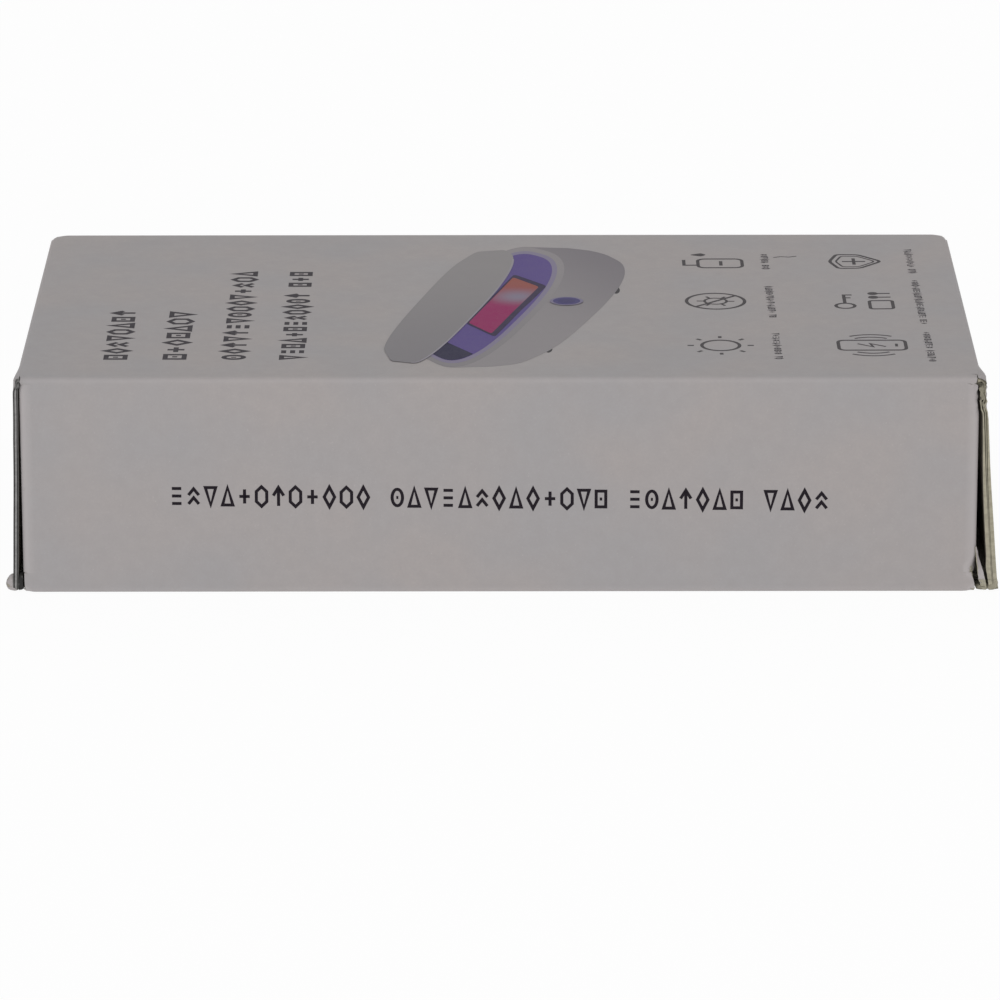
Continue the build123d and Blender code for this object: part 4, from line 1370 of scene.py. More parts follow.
        stops = spaced(0.0, leaf.length - self.tongue_tip, 6)
        stops += spaced(leaf.length - 5.6 * MM, leaf.length, 12)
        waves = round(2 * narrow / BOARD.pitch * 6)
        rows, board = grid(stops, spaced(-1, -0.92, 9) + spaced(-0.9, 1, 40)), BOARD
        face = board.half - board.liner
        piece.slab(rows, tongue, lambda s, v: face, lambda s, v: board.half, 0, 1, soil=painted_shade)
        piece.slab(grid(stops, spaced(-1, 1, waves + 1)), tongue, lambda s, v: wave(v, -1),
                   lambda s, v: wave(v, 1), 1, 1, soil=painted_shade)
        piece.slab(rows, tongue, lambda s, v: -board.half, lambda s, v: -face, 1, 2, soil=painted_shade)
        for lump in self.shape.lumps:
            self._lump(piece, lump)
        made = piece.build(f"tuck_tongue_{shape.name}_board")
        return self._blend(made, f"closing_flap_{shape.name}", f"tuck_tongue_{shape.name}",
                           (shape.foot_out, 0.0, shape.foot_z - 0.3 * MM),
                           (shape.foot_out - 0.4 * MM, 0.0, shape.foot_z - 2.2 * MM))

    def _lump(self, piece: BoardMesh, lump: Lump) -> None:
        """Adds a crumpled roll of board with a rounded front end to a mesh."""
        front = -self.carton.half_depth + self.closing_trim - 0.2 * MM
        far = front + lump.depth * MM
        ring = smooth_corners(list(lump.ring), 0.5)
        anchor = min(p[0] for p in ring)
        low = min(p[1] for p in ring)
        stations = spaced(0.0, 1.2 * MM, 9)[:-1] + spaced(1.2 * MM, 9 * MM, 27)[:-1]
        stations += spaced(9 * MM, far - front, max(4, round((far - front) / (1.6 * MM))))
        middle = Vector((sum(p[0] for p in ring), sum(p[1] for p in ring))) / len(ring)
        rings = []
        for reach in stations:
            dome = math.sqrt(max(0.0, 1 - (1 - min(1.0, reach / (1.2 * MM)))**2)) * 0.45 + 0.55
            tail = 1 - (1 - lump.keep) * ease((reach - 1.2 * MM) / (lump.fade * MM))
            points = []
            for out, z in ring:
                out, z = middle.x + (out - middle.x) * dome, middle.y + (z - middle.y) * dome
                out, z = anchor + (out - anchor) * tail, low + (z - low) * (0.5 + 0.5 * tail)
                place = self.point(out * MM, front + reach, z * MM)
                bump = noise.noise(place / (0.8 * MM)) + 0.6 * noise.noise(place / (0.35 * MM))
                away = self.way(out - middle.x, 0, z - middle.y).normalized()
                points.append(place + away * bump * lump.rough * MM)
            rings.append(points)
        # The darkening given to each roll is painted shade in its folds.
        piece.roll(rings, lump.material, lambda p: lump.wear + 0.35 * noise.noise(p / (1.1 * MM)),
                   lambda p: lump.soil * (1 + 0.8 * noise.noise(p / (0.6 * MM))))

    @property
    def core(self) -> BarePaper:
        """Paper that shows at this end's cut edges."""
        return MEDIUM if self.shape.parted else GREY_MEDIUM

    def build(self) -> None:
        """Builds all four flaps."""
        for row in Row:
            self.dust_flap(row)
        self.closing_flap()
        self.tongue()


# ---- print -----------------------------------------------


Loop = list[Point2]


def ring_points(middle: Point2, across: float, up: float | None = None, count: int = 40, start: float = 0.0,
                end: float = 360.0) -> Loop:
    """Points round an ellipse, or along a part of it.

    Args:
        middle: Its middle.
        across: Half its width.
        up: Half its height; a circle if left out.
        count: How many points.
        start: Angle of the first point in degrees.
        end: Angle after the last point.

    Returns:
        The points.
    """
    up = across if up is None else up
    last = 0 if abs(end - start) >= 360 else 1
    angles = [math.radians(start + (end - start) * i / (count - last)) for i in range(count)]
    return [(middle[0] + across * math.cos(a), middle[1] + up * math.sin(a)) for a in angles]


def rounded_box(middle: Point2, width: float, height: float, radius: float) -> Loop:
    """Outline of an upright rectangle with rounded corners."""
    points: Loop = []
    for quarter, (sx, sy) in enumerate(((1, 1), (-1, 1), (-1, -1), (1, -1))):
        corner = (middle[0] + sx * (width / 2 - radius), middle[1] + sy * (height / 2 - radius))
        points += ring_points(corner, radius, count=6, start=90 * quarter, end=90 * quarter + 90)
    return points


def stroke(points: Loop, width: float, closed: bool = False) -> list[Loop]:
    """Outline of a pen stroke along some points.

    Args:
        points: The stroke's points.
        width: Its width.
        closed: Whether it returns to its first point.

    Returns:
        One loop, or an outer and an inner loop for a closed stroke.
    """
    count = len(points)
    sides: list[list[Point2]] = [[], []]
    for i, point in enumerate(points):
        here = Vector(point)
        before = Vector(points[i - 1]) if closed or i else None
        after = Vector(points[(i + 1) % count]) if closed or i < count - 1 else None
        ahead = [(here - before).normalized()] if before is not None else []
        ahead += [(after - here).normalized()] if after is not None else []
        mean = sum(ahead, Vector((0, 0))).normalized()
        normal = Vector((-mean.y, mean.x))
        reach = width / 2 / max(0.45, normal.dot(Vector((-ahead[0].y, ahead[0].x))))
        for side, sign in zip(sides, (1, -1)):
            side.append(tuple(here + normal * reach * sign))
    return sides if closed else [sides[0] + sides[1][::-1]]


class MarkShape(Enum):
    """Plain signs that stand where wording would be.

    The value is the sign's strokes, each with whether it is closed, in a box 1 wide and 1 high.
    """

    DIAMOND = [([(0.5, 0), (1, 0.5), (0.5, 1), (0, 0.5)], True)]
    SQUARE = [([(0.04, 0.1), (0.96, 0.1), (0.96, 0.9), (0.04, 0.9)], True),
              ([(0.38, 0.5), (0.62, 0.5)], False)]
    TRIANGLE = [([(0, 0.06), (1, 0.06), (0.5, 0.96)], True)]
    FUNNEL = [([(0, 0.94), (1, 0.94), (0.5, 0.04)], True)]
    HEXAGON = [([(0.5, 0), (1, 0.25), (1, 0.75), (0.5, 1), (0, 0.75), (0, 0.25)], True)]
    CHEVRONS = [([(0, 0.1), (0.5, 0.42), (1, 0.1)], False), ([(0, 0.55), (0.5, 0.87), (1, 0.55)], False)]
    BARS = [([(0.05, 0.12), (0.95, 0.12)], False), ([(0.05, 0.5), (0.95, 0.5)], False),
            ([(0.05, 0.88), (0.95, 0.88)], False)]
    PLUS = [([(0.5, 0.14), (0.5, 0.86)], False), ([(0, 0.5), (1, 0.5)], False)]
    DOTTED_RING = [(ring_points((0.5, 0.5), 0.5, 0.42, 20), True), ([(0.4, 0.5), (0.6, 0.5)], False)]
    ARROW = [([(0, 0.55), (0.5, 0.97), (1, 0.55)], False), ([(0.5, 0.9), (0.5, 0.03)], False)]


class Print:
    """One ink on a panel: flat shapes in millimetres that become thin closed films lying on the board."""

    def __init__(self, name: str, finish: Finish, lay: Callable[[float, float, float], Vector],
                 film: float = 0.012) -> None:
        """Starts an empty print.

        Args:
            name: Name of the piece.
            finish: Its ink.
            lay: Puts a place of the print, in millimetres, and a height over the board, into the model.
            film: Thickness of the film in millimetres.
        """
        self.name, self.ink, self.lay, self.film = name, finish, lay, film
        self.layer = 0.014
        self.points: list[Vector] = []
        self.faces: list[tuple[int, ...]] = []
        self.tints: list[Colour] = []
        self.level = 0.0

    def fill(self, loops: Sequence[Loop], tint: Tint | None = None,
             step: float = 0.0) -> None:
        """Fills the area inside an odd number of loops.

        Args:
            loops: Outlines.
            tint: Colour at a place.
            step: Spacing of extra points inside; 0 picks 3 for large shapes and none for small ones.
        """
        flat: list[Vector] = []
        edges: list[tuple[int, int]] = []
        for loop in loops:
            first = len(flat)
            flat += [Vector(p) for p in loop]
            edges += [(first + i, first + (i + 1) % len(loop)) for i in range(len(loop))]
        xs, ys = [p.x for p in flat], [p.y for p in flat]
        step = step or (3.0 if min(max(xs) - min(xs), max(ys) - min(ys)) > 4.0 else 0.0)
        if step:
            for i in range(1, int((max(xs) - min(xs)) / step) + 1):
                for j in range(1, int((max(ys) - min(ys)) / step) + 1):
                    place = (min(xs) + (i + 0.25 * (j % 2)) * step, min(ys) + j * step)
                    if inside(place, loops):
                        flat.append(Vector(place))
        found, _, triangles, *_ = geometry.delaunay_2d_cdt(flat, edges, [], 0, 1e-5)
        kept = [t for t in triangles if inside(tuple(sum((found[i] for i in t), Vector((0, 0))) / 3), loops)]
        base, count = len(self.points), len(found)
        for height in (self.level + self.film, self.level):
            self.points += [self.lay(p.x, p.y, height) for p in found]
            self.tints += [tint(p.x, p.y) if tint else (0.0, 0.0, 0.0) for p in found]
        borders: dict[tuple[int, int], int] = {}
        for a, b, c in kept:
            under = base + count
            self.faces += [(base + a, base + b, base + c), (under + c, under + b, under + a)]
            for edge in ((a, b), (b, c), (c, a)):
                borders[edge] = borders.get(edge, 0) + 1
        for a, b in borders:
            if (b, a) not in borders:
                self.faces.append((base + b, base + a, base + count + a, base + count + b))

    def lift(self) -> None:
        """Starts the next layer, a little over the last one."""
        self.level += self.layer

    def draw(self, points: Loop, width: float, closed: bool = False,
             tint: Tint | None = None) -> None:
        """Draws a pen stroke."""
        self.fill(stroke(points, width, closed), tint)

    def mark(self, shape: MarkShape, corner: Point2, width: float, height: float, pen: float) -> None:
        """Draws a sign whose lower left corner is at a place."""
        inner_w, inner_h = width - pen, height - pen
        left, low = corner[0] + pen / 2, corner[1] + pen / 2
        for points, closed in shape.value:
            placed = [(left + x * inner_w, low + y * inner_h) for x, y in points]
            self.draw(placed, pen, closed)

    def row(self, start: Point2, words: Sequence[int], pitch: float, width: float, height: float, pen: float,
            chance: random.Random) -> None:
        """Draws a line of signs in groups.

        Args:
            start: Lower left corner of the first sign.
            words: Signs in each group.
            pitch: From one sign to the next; a gap between groups is one pitch.
            width: Width of a sign.
            height: Height of a sign.
            pen: Width of the strokes.
            chance: Picks the signs.
        """
        at, last = start[0], None
        for word in words:
            for _ in range(word):
                shape = chance.choice([s for s in MarkShape if s is not last])
                self.mark(shape, (at, start[1]), width, height, pen)
                at, last = at + pitch, shape
            at += pitch

    def build(self) -> Piece:
        """Makes the piece, riding on the carton."""
        mesh = bpy.data.meshes.new(self.name)
        mesh.from_pydata(self.points, [], self.faces)
        mesh.attributes.new("tint", "FLOAT_COLOR", "POINT").data.foreach_set(
            "color", [value for tint in self.tints for value in (*tint, 1.0)])
        mesh.materials.append(self.ink.material())
        face_outward(mesh)
        LOG.info("%s has %d faces", self.name, len(self.faces))
        return ride_as(place_in_scene(mesh), "root", Slot.PRINTED_BOARD)


def inside(place: Point2, loops: Sequence[Loop]) -> bool:
    """Whether a place is inside an odd number of loops."""
    x, y = place
    odd = False
    for loop in loops:
        for (x1, y1), (x2, y2) in zip(loop, loop[1:] + loop[:1]):
            if (y1 > y) != (y2 > y) and x < (x2 - x1) * (y - y1) / (y2 - y1) + x1:
                odd = not odd
    return odd


def plain(colour: Colour) -> Tint:
    """The same colour everywhere."""
    return lambda x, y: colour


def graded(first: Colour, second: Colour, start: Point2, end: Point2) -> Tint:
    """Colour that runs from one to another between two places."""
    way = Vector(end) - Vector(start)

    def tint(x: float, y: float) -> Colour:
        share = ease((Vector((x, y)) - Vector(start)).dot(way) / way.length_squared)
        return tuple(a + (b - a) * share for a, b in zip(first, second))

    return tint


@dataclass(frozen=True)
class ClamshellPicture:
    """The printed picture of an open clamshell box with a phone in it, drawn from its own sizes in mm."""

    middle: Point2 = (59.6, -125.2)
    scale: float = 0.568
    turn: float = -31.0          # how far the box is turned, in degrees
    look_down: float = 29.0
    distance: float = 560.0      # from which the picture looks at the box
    length: float = 200.0
    depth: float = 86.0
    base: float = 31.5           # height of the lower half
    lid: float = 9.0
    lid_inset: float = 6.0       # how far the lid stays inside the lower half's outline
    opening: float = 13.5        # angle of the lid
    power: float = 2.7           # squareness of the rounded outline

    def project(self, x: float, y: float, z: float) -> Point2:
        """Place on the print of a point of the box."""
        turn, look = math.radians(self.turn), math.radians(self.look_down)
        across = x * math.cos(turn) - y * math.sin(turn)
        away = x * math.sin(turn) + y * math.cos(turn)
        near = self.scale * self.distance / (self.distance + away * math.cos(look) - z * math.sin(look))
        return (self.middle[0] + near * across,
                self.middle[1] + near * (z * math.cos(look) + away * math.sin(look)))

    def plan(self, inset: float, count: int = 72) -> Loop:
        """The box's rounded outline in plan, drawn in by an inset."""
        half_x, half_y, power = self.length / 2 - inset, self.depth / 2 - inset, 2 / self.power
        points = []
        for i in range(count):
            c, s = math.cos(2 * math.pi * i / count), math.sin(2 * math.pi * i / count)
            points.append((half_x * math.copysign(abs(c)**power, c),
                           half_y * math.copysign(abs(s)**power, s)))
        return points

    def level(self, inset: float, z: float) -> Loop:
        """Outline of the lower half at a height."""
        return [self.project(x, y, z) for x, y in self.plan(inset)]

    def lid_level(self, inset: float, height: float) -> Loop:
        """Outline of the opened lid at a height over its rim."""
        angle, hinge = math.radians(self.opening), self.depth / 2
        placed = []
        for x, y in self.plan(inset):
            reach = hinge - y
            placed.append(self.project(x, hinge - reach * math.cos(angle) + height * math.sin(angle) * 0.4,
                                       self.base + 3 + reach * math.sin(angle) + height * math.cos(angle)))
        return placed

    def draw(self, sheet: Print) -> None:
        """Draws the whole picture from back to front."""
        grey, pale, dark = (0.225, 0.212, 0.222), (0.268, 0.25, 0.258), (0.185, 0.17, 0.187)
        violet, deep, rim = (0.098, 0.064, 0.235), (0.082, 0.052, 0.215), (0.215, 0.19, 0.275)
        cx, cy = self.middle
        for x, inward in ((-58, 18), (49, 15.5)):
            sheet.fill([self.foot(x, inward)], plain((0.03, 0.028, 0.032)))
        sheet.lift()
        shell = hull(self.level(9, -1) + self.level(2, 6) + self.level(0, 14) + self.level(0, self.base))
        block = [self.project(x, y, self.base) for x, y in self.plan(10.4) if x < -0.32 * self.length]
        for outline, tint, step in (
            (shell, graded(pale, dark, (cx - 10, cy + 6), (cx + 16, cy - 42)), 2.5),
            (self.level(0.6, self.base), graded(grey, pale, (cx - 50, cy), (cx + 50, cy)), 3.0),
            (self.level(6.0, self.base), plain(rim), 0.0),
            (self.level(10.0, self.base), graded(deep, violet, (cx, cy + 14), (cx, cy - 12)), 2.5),
            (block, plain((0.004, 0.002, 0.034)), 0.0),
        ):
            sheet.fill([outline], tint, step)
            sheet.lift()
        self.phone(sheet)
        sheet.lift()
        inset = self.lid_inset
        cover = hull(self.lid_level(inset, 0) + self.lid_level(inset + 3, self.lid)
                     + self.lid_level(inset + 14, self.lid + 4))
        cover_tint = graded((0.262, 0.248, 0.25), (0.205, 0.194, 0.206), (cx + 40, cy + 30), (cx - 45, cy))
        sheet.fill([cover], cover_tint, 2.5)
        sheet.lift()
        sheet.draw(self.lid_edge(), 0.5, tint=plain((0.28, 0.262, 0.30)))
        sheet.lift()
        self.button(sheet)

    def lid_edge(self) -> Loop:
        """Front edge of the opened lid, from one end to the other."""
        rim = self.lid_level(self.lid_inset + 0.5, 0)
        return rim[len(rim) // 2 + 3:-3]

    def phone(self, sheet: Print) -> None:
        """Draws the phone lying in the lower half."""
        corners = ((-38, -20), (51, -20), (53, 14), (-36, 14))
        body = smooth_corners([self.project(x, y, self.base - 6) for x, y in corners], 0.12)
        sheet.fill([body], plain((0.018, 0.008, 0.045)), 1.8)
        sheet.lift()
        face = smooth_corners([self.project(x, y, self.base - 5) for x, y in
                               ((-34.5, -16.5), (47.5, -16.5), (49.5, 10.5), (-32.5, 10.5))], 0.1)
        blush = graded((0.25, 0.001, 0.088), (0.27, 0.07, 0.055), self.project(0, 0, 20),
                       self.project(44, 0, 20))
        haze, glow = (0.21, 0.185, 0.25), Vector(self.project(26, -8, self.base - 5))

        def tint(x: float, y: float) -> Colour:
            share = 1 - ease((Vector((x, y)) - glow).length / 10)
            return tuple(a + (b - a) * share for a, b in zip(blush(x, y), haze))

        sheet.fill([face], tint, 1.2)
        sheet.lift()

    def button(self, sheet: Print) -> None:
        """Draws the button on the lower half's front."""
        middle = self.project(38, -self.depth / 2, 0.77 * self.base)
        rings = (3.9, (0.19, 0.17, 0.25)), (3.2, (0.052, 0.042, 0.15)), (2.0, (0.04, 0.032, 0.12))
        for radius, colour in rings:
            sheet.fill([ring_points(middle, radius, radius * 1.04)], plain(colour))
            sheet.lift()

    def foot(self, x: float, inward: float) -> Loop:
        """Outline of a rubber foot under the lower half, at a distance in from its front."""
        middle = self.project(x, -self.depth / 2 + inward, -3)
        return ring_points(middle, 3.4, 1.0, 20)


def hull(points: Iterable[Point2]) -> Loop:
    """Convex outline round some points."""
    flat = [Vector(p) for p in points]
    return [tuple(flat[i]) for i in geometry.convex_hull_2d(flat)]


def smooth_corners(loop: Loop, share: float) -> Loop:
    """Rounds an outline's corners, each over a share of its shorter side."""
    rounded: Loop = []
    for i, point in enumerate(loop):
        before, here, after = Vector(loop[i - 1]), Vector(point), Vector(loop[(i + 1) % len(loop)])
        reach = share * min((here - before).length, (after - here).length)
        start, end = here + (before - here).normalized() * reach, here + (after - here).normalized() * reach
        for j in range(5):
            t = j / 4
            rounded.append(tuple(start * (1 - t)**2 + here * 2 * t * (1 - t) + end * t**2))
    return rounded


def draw_spokes(sheet: Print, at: Point2, count: int, start: float, reaches: Point2, pen: float) -> None:
    """Draws short lines outward round a place, between two distances, the first at a start angle."""
    for i in range(count):
        c, s = math.cos(2 * math.pi * i / count + start), math.sin(2 * math.pi * i / count + start)
        sheet.draw([(at[0] + reach * c, at[1] + reach * s) for reach in reaches], pen)


@dataclass(frozen=True)
class PrintedCarton:
    """Everything printed on the carton: rows of signs, a picture and six pictograms.

    On the top, places run in mm from the front crease towards the back and, negative, from the left end down.
    """

    carton: Carton
    seed: int = 41
    front_ink: PrintInk = PrintInk("violet_black_ink", (0.009, 0.006, 0.010), 0.5)
    top_ink: PrintInk = PrintInk("plum_grey_ink", (0.030, 0.025, 0.031), 0.55)
    fine_ink: PrintInk = PrintInk("soft_grey_ink", (0.056, 0.050, 0.053), 0.55)
    icon_rows: tuple[float, float] = (-165.5, -201.6)
    icon_columns: tuple[float, float, float] = (27.4, 66.4, 102.9)
    pen: float = 0.85
    front_tilt: float = 0.0085      # how far the front's line runs down to the right

    def on_top(self, across: float, up: float, height: float) -> Vector:
        """Puts a place of the top's print on the panel."""
        x = self.carton.x(End.LEFT, 0.0) - up * MM
        y = across * MM - self.carton.half_depth
        return Vector((x, y, self.carton.top_z(x, y) + (height + 0.006) * MM))

    def on_front(self, across: float, up: float, height: float) -> Vector:
        """Puts a place of the front's print on the panel."""
        x, z = across * MM, (up - self.front_tilt * (across + 4)) * MM
        dip = self.carton.side_dip(x, z)
        return Vector((x, -self.carton.half_depth + dip - (height + 0.006) * MM, z))

    def front_row(self) -> None:
        """Prints the long line of signs on the front panel."""
        sheet = Print("front_print", self.front_ink, self.on_front)
        sheet.row((-78.3, 20.6), (12, 13, 7, 4), 4.0, 3.2, 5.6, 0.74, random.Random(self.seed))
        sheet.build()

    def titles(self, sheet: Print) -> None:
        """Prints the four bold lines at the head of the top panel."""
        chance = random.Random(self.seed + 1)
        lines = (-25.2, (8,), 5.5), (-39.2, (7,), 6.15), (-53.2, (15,), 5.3), (-67.0, (12, 3), 4.95)
        for base, words, pitch in lines:
            sheet.row((15.4, base), words, pitch, pitch - 0.95, 6.8, 1.2, chance)

    def captions(self, sheet: Print) -> None:
        """Prints a short line of tiny signs under each pictogram."""
        chance = random.Random(self.seed + 2)
        spans = ((15.5, 38.5), (52.0, 81.8), (95.8, 110.6)), ((13.2, 39.7), (45.6, 86.7), (91.4, 114.3))
        for level, row in zip((-180.0, -216.2), spans):
            for left, right in row:
                count = int((right - left) / 1.42)
                first = chance.randint(2, max(2, count - 5))
                sheet.row((left, level), (first, count - first - 1), 1.42, 1.08, 2.1, 0.36, chance)

    def icons(self, sheet: Print) -> None:
        """Prints the six pictograms."""
        (upper, lower), (left, middle, right) = self.icon_rows, self.icon_columns
        self.rays((left, upper), sheet)
        self.barred_ring((middle, upper), sheet)
        self.bottle((right, upper), sheet)
        self.ringing_phone((left, lower), sheet)
        self.small_things((middle, lower), sheet)
        self.shield((right, lower), sheet)

    def rays(self, at: Point2, sheet: Print) -> None:
        """A lamp: a ring with eight short rays."""
        sheet.draw(ring_points(at, 4.5), self.pen, True)
        draw_spokes(sheet, at, 8, 0.0, (6.4, 7.9), self.pen)

    def barred_ring(self, at: Point2, sheet: Print) -> None:
        """A germ in a ring with a bar across it."""
        sheet.draw(ring_points(at, 7.1), self.pen, True)
        sheet.draw([(at[0] - 4.8, at[1] + 4.8), (at[0] + 4.8, at[1] - 4.8)], self.pen)
        sheet.draw(ring_points(at, 2.7), self.pen * 0.8, True)
        draw_spokes(sheet, at, 6, 0.5, (2.9, 4.6), self.pen * 0.8)

    def bottle(self, at: Point2, sheet: Print) -> None:
        """A bottle with a drop beside it."""
        x, y = at[0] - 1.6, at[1]
        sheet.draw(rounded_box((x, y - 2.2), 8.0, 11.0, 1.8), self.pen, True)
        sheet.draw([(x - 1.6, y + 3.6), (x - 1.6, y + 6.8), (x + 3.2, y + 6.8)], self.pen)
        drop = [(at[0] + 6.2, at[1] + 5.4), (at[0] + 7.7, at[1] + 2.3), (at[0] + 6.2, at[1] + 1.0),
                (at[0] + 4.7, at[1] + 2.3)]
        sheet.fill([smooth_corners(drop, 0.3)])
        sheet.draw([(x - 2.0, y - 2.4), (x + 2.0, y - 2.4)], self.pen)

    def ringing_phone(self, at: Point2, sheet: Print) -> None:
        """A phone with waves on both sides."""
        sheet.draw(rounded_box(at, 8.6, 16.0, 1.6), self.pen, True)
        sheet.draw([(at[0] - 1.2, at[1] - 5.8), (at[0] + 1.2, at[1] - 5.8)], self.pen * 0.8)
        bolt = ((1.3, 3.4), (-1.4, -0.2), (1.4, 0.4), (-1.2, -3.2))
        sheet.draw([(at[0] + dx, at[1] + dy) for dx, dy in bolt], self.pen * 0.8)
        for side in (0, 180):
            for reach in (7.0, 9.2):
                sheet.draw(ring_points(at, reach, count=9, start=side - 33, end=side + 33), self.pen * 0.8)

    def small_things(self, at: Point2, sheet: Print) -> None:
        """Things that also fit in the box: a key, a card and a pair of buds."""
        x, y = at
        sheet.draw(ring_points((x - 4.2, y + 4.6), 2.3), self.pen, True)
        sheet.draw([(x - 1.9, y + 4.6), (x + 5.6, y + 4.6), (x + 5.6, y + 2.6)], self.pen)
        sheet.draw([(x + 3.0, y + 4.6), (x + 3.0, y + 3.0)], self.pen)
        sheet.draw(rounded_box((x - 3.4, y - 4.2), 7.4, 5.6, 0.9), self.pen, True)
        for side in (0, 1):
            place = (x + 3.4 + 3.4 * side, y - 2.6)
            sheet.fill([ring_points(place, 1.3)])
            sheet.draw([place, (place[0], place[1] - 4.2)], self.pen)

    def shield(self, at: Point2, sheet: Print) -> None:
        """A shield with a plus on it."""
        x, y = at
        edge = [(x, y + 6.6), (x + 6.4, y + 4.6), (x + 6.2, y - 0.8), (x, y - 6.4), (x - 6.2, y - 0.8),
                (x - 6.4, y + 4.6)]
        sheet.draw(smooth_corners(edge, 0.2), self.pen, True)
        inner = [(x + (a - x) * 0.76, y + (b - y) * 0.76) for a, b in edge]
        sheet.draw(smooth_corners(inner, 0.2), self.pen * 0.6, True)
        sheet.draw([(x, y - 2.4), (x, y + 3.4)], self.pen)
        sheet.draw([(x - 2.9, y + 0.5), (x + 2.9, y + 0.5)], self.pen)

    def scuff(self, sheet: Print) -> None:
        """A dark rub mark beside the last caption of the upper row."""
        trail = [(106.6, -181.2), (107.4, -183.0), (107.0, -185.1), (107.8, -187.0)]
        sheet.draw(trail, 0.5)

    def build(self) -> None:
        """Prints both panels."""
        self.front_row()
        sheet = Print("top_print", self.top_ink, self.on_top)
        self.titles(sheet)
        self.captions(sheet)
        sheet.build()
        sheet = Print("fine_print", self.fine_ink, self.on_top)
        self.icons(sheet)
        self.scuff(sheet)
        sheet.build()
        picture = Print("picture_print", PictureInk("picture_ink", (0.30, 0.285, 0.285), 0.5), self.on_top)
        ClamshellPicture().draw(picture)
        picture.build()


# ---- contents --------------------------------------------


@dataclass(frozen=True)
class Contents:
    """The tray and the sanitizer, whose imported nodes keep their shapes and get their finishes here."""

    record: dict

    def dress(self) -> None:
        """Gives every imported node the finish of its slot."""
        slots = {part["node"]: Slot(part["material_slot"]) for part in self.record["subparts"]}
        for node, slot in slots.items():
            piece = bpy.data.objects.get(node) or next(o for o in bpy.data.objects if o.name.endswith(node))
            finish = self.coil_finish() if slot is Slot.COPPER_WINDING else CAD_FINISHES[slot]
            for place in piece.material_slots:
                place.material = finish.material()
            if not piece.material_slots:
                piece.data.materials.append(finish.material())
            LOG.info("%s wears %s", node, finish.title)

    @staticmethod
    def coil_finish() -> WoundCopper:
        """Copper wound round the middle of the charging coil."""
        low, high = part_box("charging_coil")
        middle = ((low[0] + high[0]) / 2, (low[1] + high[1]) / 2)
        return WoundCopper("copper_winding", (0.72, 0.33, 0.17), 0.32, middle)


# ---- studio ----------------------------------------------


def seen_directly(tree: bpy.types.NodeTree) -> Socket:
    """Adds nodes that give 1 to rays from the camera, also by way of a mirror or a window."""
    path = tree.nodes.new("ShaderNodeLightPath")
    seen = path.outputs["Is Camera Ray"]
    for ray in ("Is Glossy Ray", "Is Transmission Ray"):
        either = tree.nodes.new("ShaderNodeMath")
        either.operation = "MAXIMUM"
        tree.links.new(seen, either.inputs[0])
        tree.links.new(path.outputs[ray], either.inputs[1])
        seen = either.outputs[0]
    return seen


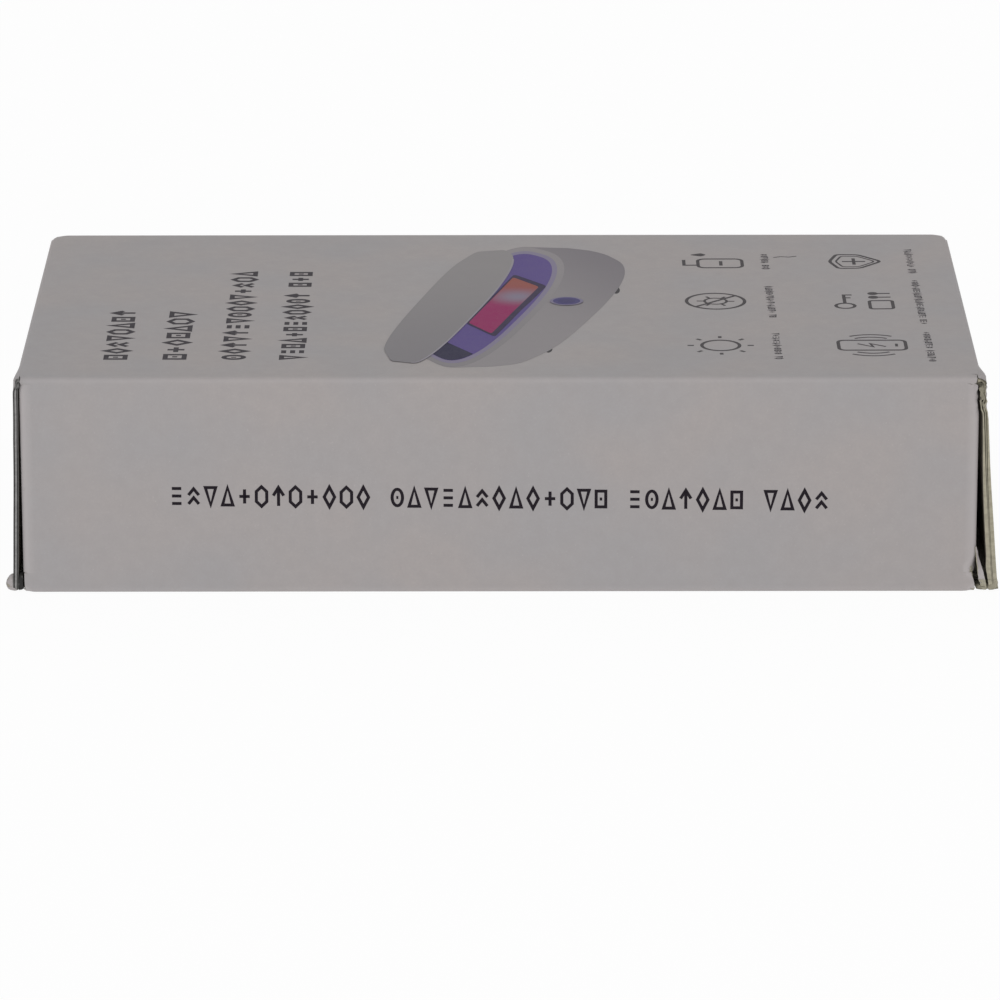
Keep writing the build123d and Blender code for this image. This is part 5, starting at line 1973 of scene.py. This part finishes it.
@dataclass(frozen=True)
class Studio:
    """Pale floor, soft light and the camera."""

    floor_half: float = 6.0
    floor_glow: Point2 = (0.65, 0.95)   # its own light's share, as it lights things and as it is seen
    lens: float = 231.5
    camera_place: tuple[float, float, float] = (0.00064, -1.51024, 0.47842)
    pitch: float = 17.486
    yaw: float = 0.045
    roll: float = -0.078
    world_strength: float = 0.72
    softbox_watts: float = 9.5

    def floor(self) -> None:
        """Lays a large pale light table that looks white to the camera and keeps the shadow."""
        mesh = bpy.data.meshes.new("studio_floor")
        h = self.floor_half
        mesh.from_pydata([(-h, -h, 0), (h, -h, 0), (h, h, 0), (-h, h, 0)], [], [(0, 1, 2, 3)])
        shading = Shading("studio_floor_paint")
        shading.finish((0.9, 0.9, 0.9), 0.9, Specular_IOR_Level=0.0)
        glow = shading.add("ShaderNodeEmission")
        glow.inputs["Strength"].default_value = 1.0
        blend = shading.add("ShaderNodeMixShader")
        glow_share = shading.spread(seen_directly(shading.tree), 0.0, 1.0, *self.floor_glow)
        shading.link(glow_share, blend.inputs[0])
        shading.link(shading.shader.outputs[0], blend.inputs[1])
        shading.link(glow.outputs[0], blend.inputs[2])
        output = next(n for n in shading.tree.nodes if n.bl_idname == "ShaderNodeOutputMaterial")
        shading.link(blend.outputs[0], output.inputs["Surface"])
        mesh.materials.append(shading.material)
        place_in_scene(mesh)

    def world(self) -> None:
        """Even white surroundings, at full white where they are seen directly."""
        world = bpy.data.worlds.new("studio")
        bpy.context.scene.world = world
        world.use_nodes = True
        tree = world.node_tree
        light = next(n for n in tree.nodes if n.bl_idname == "ShaderNodeBackground")
        light.inputs["Color"].default_value = (1, 1, 1, 1)
        level = tree.nodes.new("ShaderNodeMapRange")
        level.inputs["To Min"].default_value = self.world_strength
        level.inputs["To Max"].default_value = 1.0
        tree.links.new(seen_directly(tree), level.inputs["Value"])
        tree.links.new(level.outputs[0], light.inputs["Strength"])

    def softbox(self, name: str, place: Vector, size: float, watts: float) -> None:
        """Hangs a large square lamp that faces the carton."""
        data = bpy.data.lights.new(name, "AREA")
        data.size = size
        data.energy = watts
        lamp = bpy.data.objects.new(name, data)
        lamp.location = place
        lamp.rotation_euler = (Vector((0, 0, 0.03)) - place).to_track_quat("-Z", "Y").to_euler()
        bpy.context.scene.collection.objects.link(lamp)

    def camera(self) -> None:
        """Sets the camera in front of and above the carton."""
        data = bpy.data.cameras.new("camera")
        data.lens = self.lens
        data.sensor_width = 36.0
        data.clip_start, data.clip_end = 0.05, 50.0
        camera = bpy.data.objects.new("camera", data)
        turn = Matrix.Rotation(math.radians(self.yaw), 3, "Z")
        turn = turn @ Matrix.Rotation(math.radians(90 - self.pitch), 3, "X")
        turn = turn @ Matrix.Rotation(math.radians(self.roll), 3, "Z")
        camera.matrix_world = Matrix.Translation(self.camera_place) @ turn.to_4x4()
        bpy.context.scene.collection.objects.link(camera)
        bpy.context.scene.camera = camera

    def build(self) -> None:
        """Sets everything up."""
        bpy.context.scene.view_settings.view_transform = "Standard"
        self.floor()
        self.world()
        self.softbox("front_softbox", Vector((-0.3, -1.95, 0.45)), 1.2, self.softbox_watts)
        self.camera()


def corner_knocks(carton: Carton) -> tuple[Knock, ...]:
    """The knocks that the carton has taken, one for every worn place at its corners."""
    def knock(end: End, row: Row, out: float, z: float, radius: float, push: Sequence[float], crumple: float,
              wear: float, grain: float = 1.5, soil: float = 0.0) -> Knock:
        place = Vector((carton.x(end, out * MM), row.value * carton.half_depth, z * MM))
        way = Vector((end.value * push[0], -row.value * push[1], push[2])) * MM
        return Knock(place, radius * MM, way, crumple * MM, wear, grain * MM, soil)

    # A tenth value, where given, darkens the crumpled corner: painted shade.
    return (
        knock(End.RIGHT, Row.FRONT, 1.6, 51.3, 5.2, (-0.6, 0.3, -0.5), 0.8, 0.8, 1.2, 0.25),
        knock(End.RIGHT, Row.FRONT, 1.6, 46.8, 4.5, (-0.6, 0.0, 0.0), 0.7, 0.6, 1.0, 0.12),
        knock(End.RIGHT, Row.FRONT, 0.0, 5.6, 4.5, (-0.75, 0.2, 0.0), 0.35, 0.6),
        knock(End.RIGHT, Row.FRONT, -0.2, 0.6, 3.0, (-0.1, 0.3, 0.2), 0.25, 0.5),
        knock(End.LEFT, Row.FRONT, 0.7, 51.7, 2.8, (-0.3, 0.2, -0.3), 0.6, 0.5, 0.9, 0.6),
        knock(End.LEFT, Row.FRONT, -0.2, 0.3, 2.6, (-0.15, 0.2, 0.35), 0.05, 0.3),
        knock(End.LEFT, Row.BACK, 0.4, 52.3, 4.0, (-0.5, 0.6, -0.4), 0.25, 0.8),
        knock(End.RIGHT, Row.BACK, 0.6, 52.3, 4.0, (-0.5, 0.6, -0.4), 0.3, 0.8),
    )


def main() -> None:
    """Builds the studio, the carton and its contents in order."""
    logging.basicConfig(level=logging.INFO, format="%(message)s")
    noise.seed_set(CRUMPLE_SEED)
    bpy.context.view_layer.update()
    Studio().build()
    Contents(frame["record"]).dress()
    carton = Carton.from_frame()
    ends = {
        End.LEFT: carton.end_shape(End.LEFT, 0.1 * MM, 0.75 * MM, False, LEFT_CREST, EAR, LEFT_KNUCKLE),
        End.RIGHT: carton.end_shape(End.RIGHT, 0.5 * MM, 1.6 * MM, True, RIGHT_CREST, RIGHT_FOOT,
                                    RIGHT_KNUCKLE),
    }
    knocks = corner_knocks(carton)
    TubeBoards(carton, ends, knocks).build()
    for shape in ends.values():
        EndFlaps(carton, shape, knocks).build()
    PrintedCarton(carton).build()


if __name__ == "__main__":
    main()
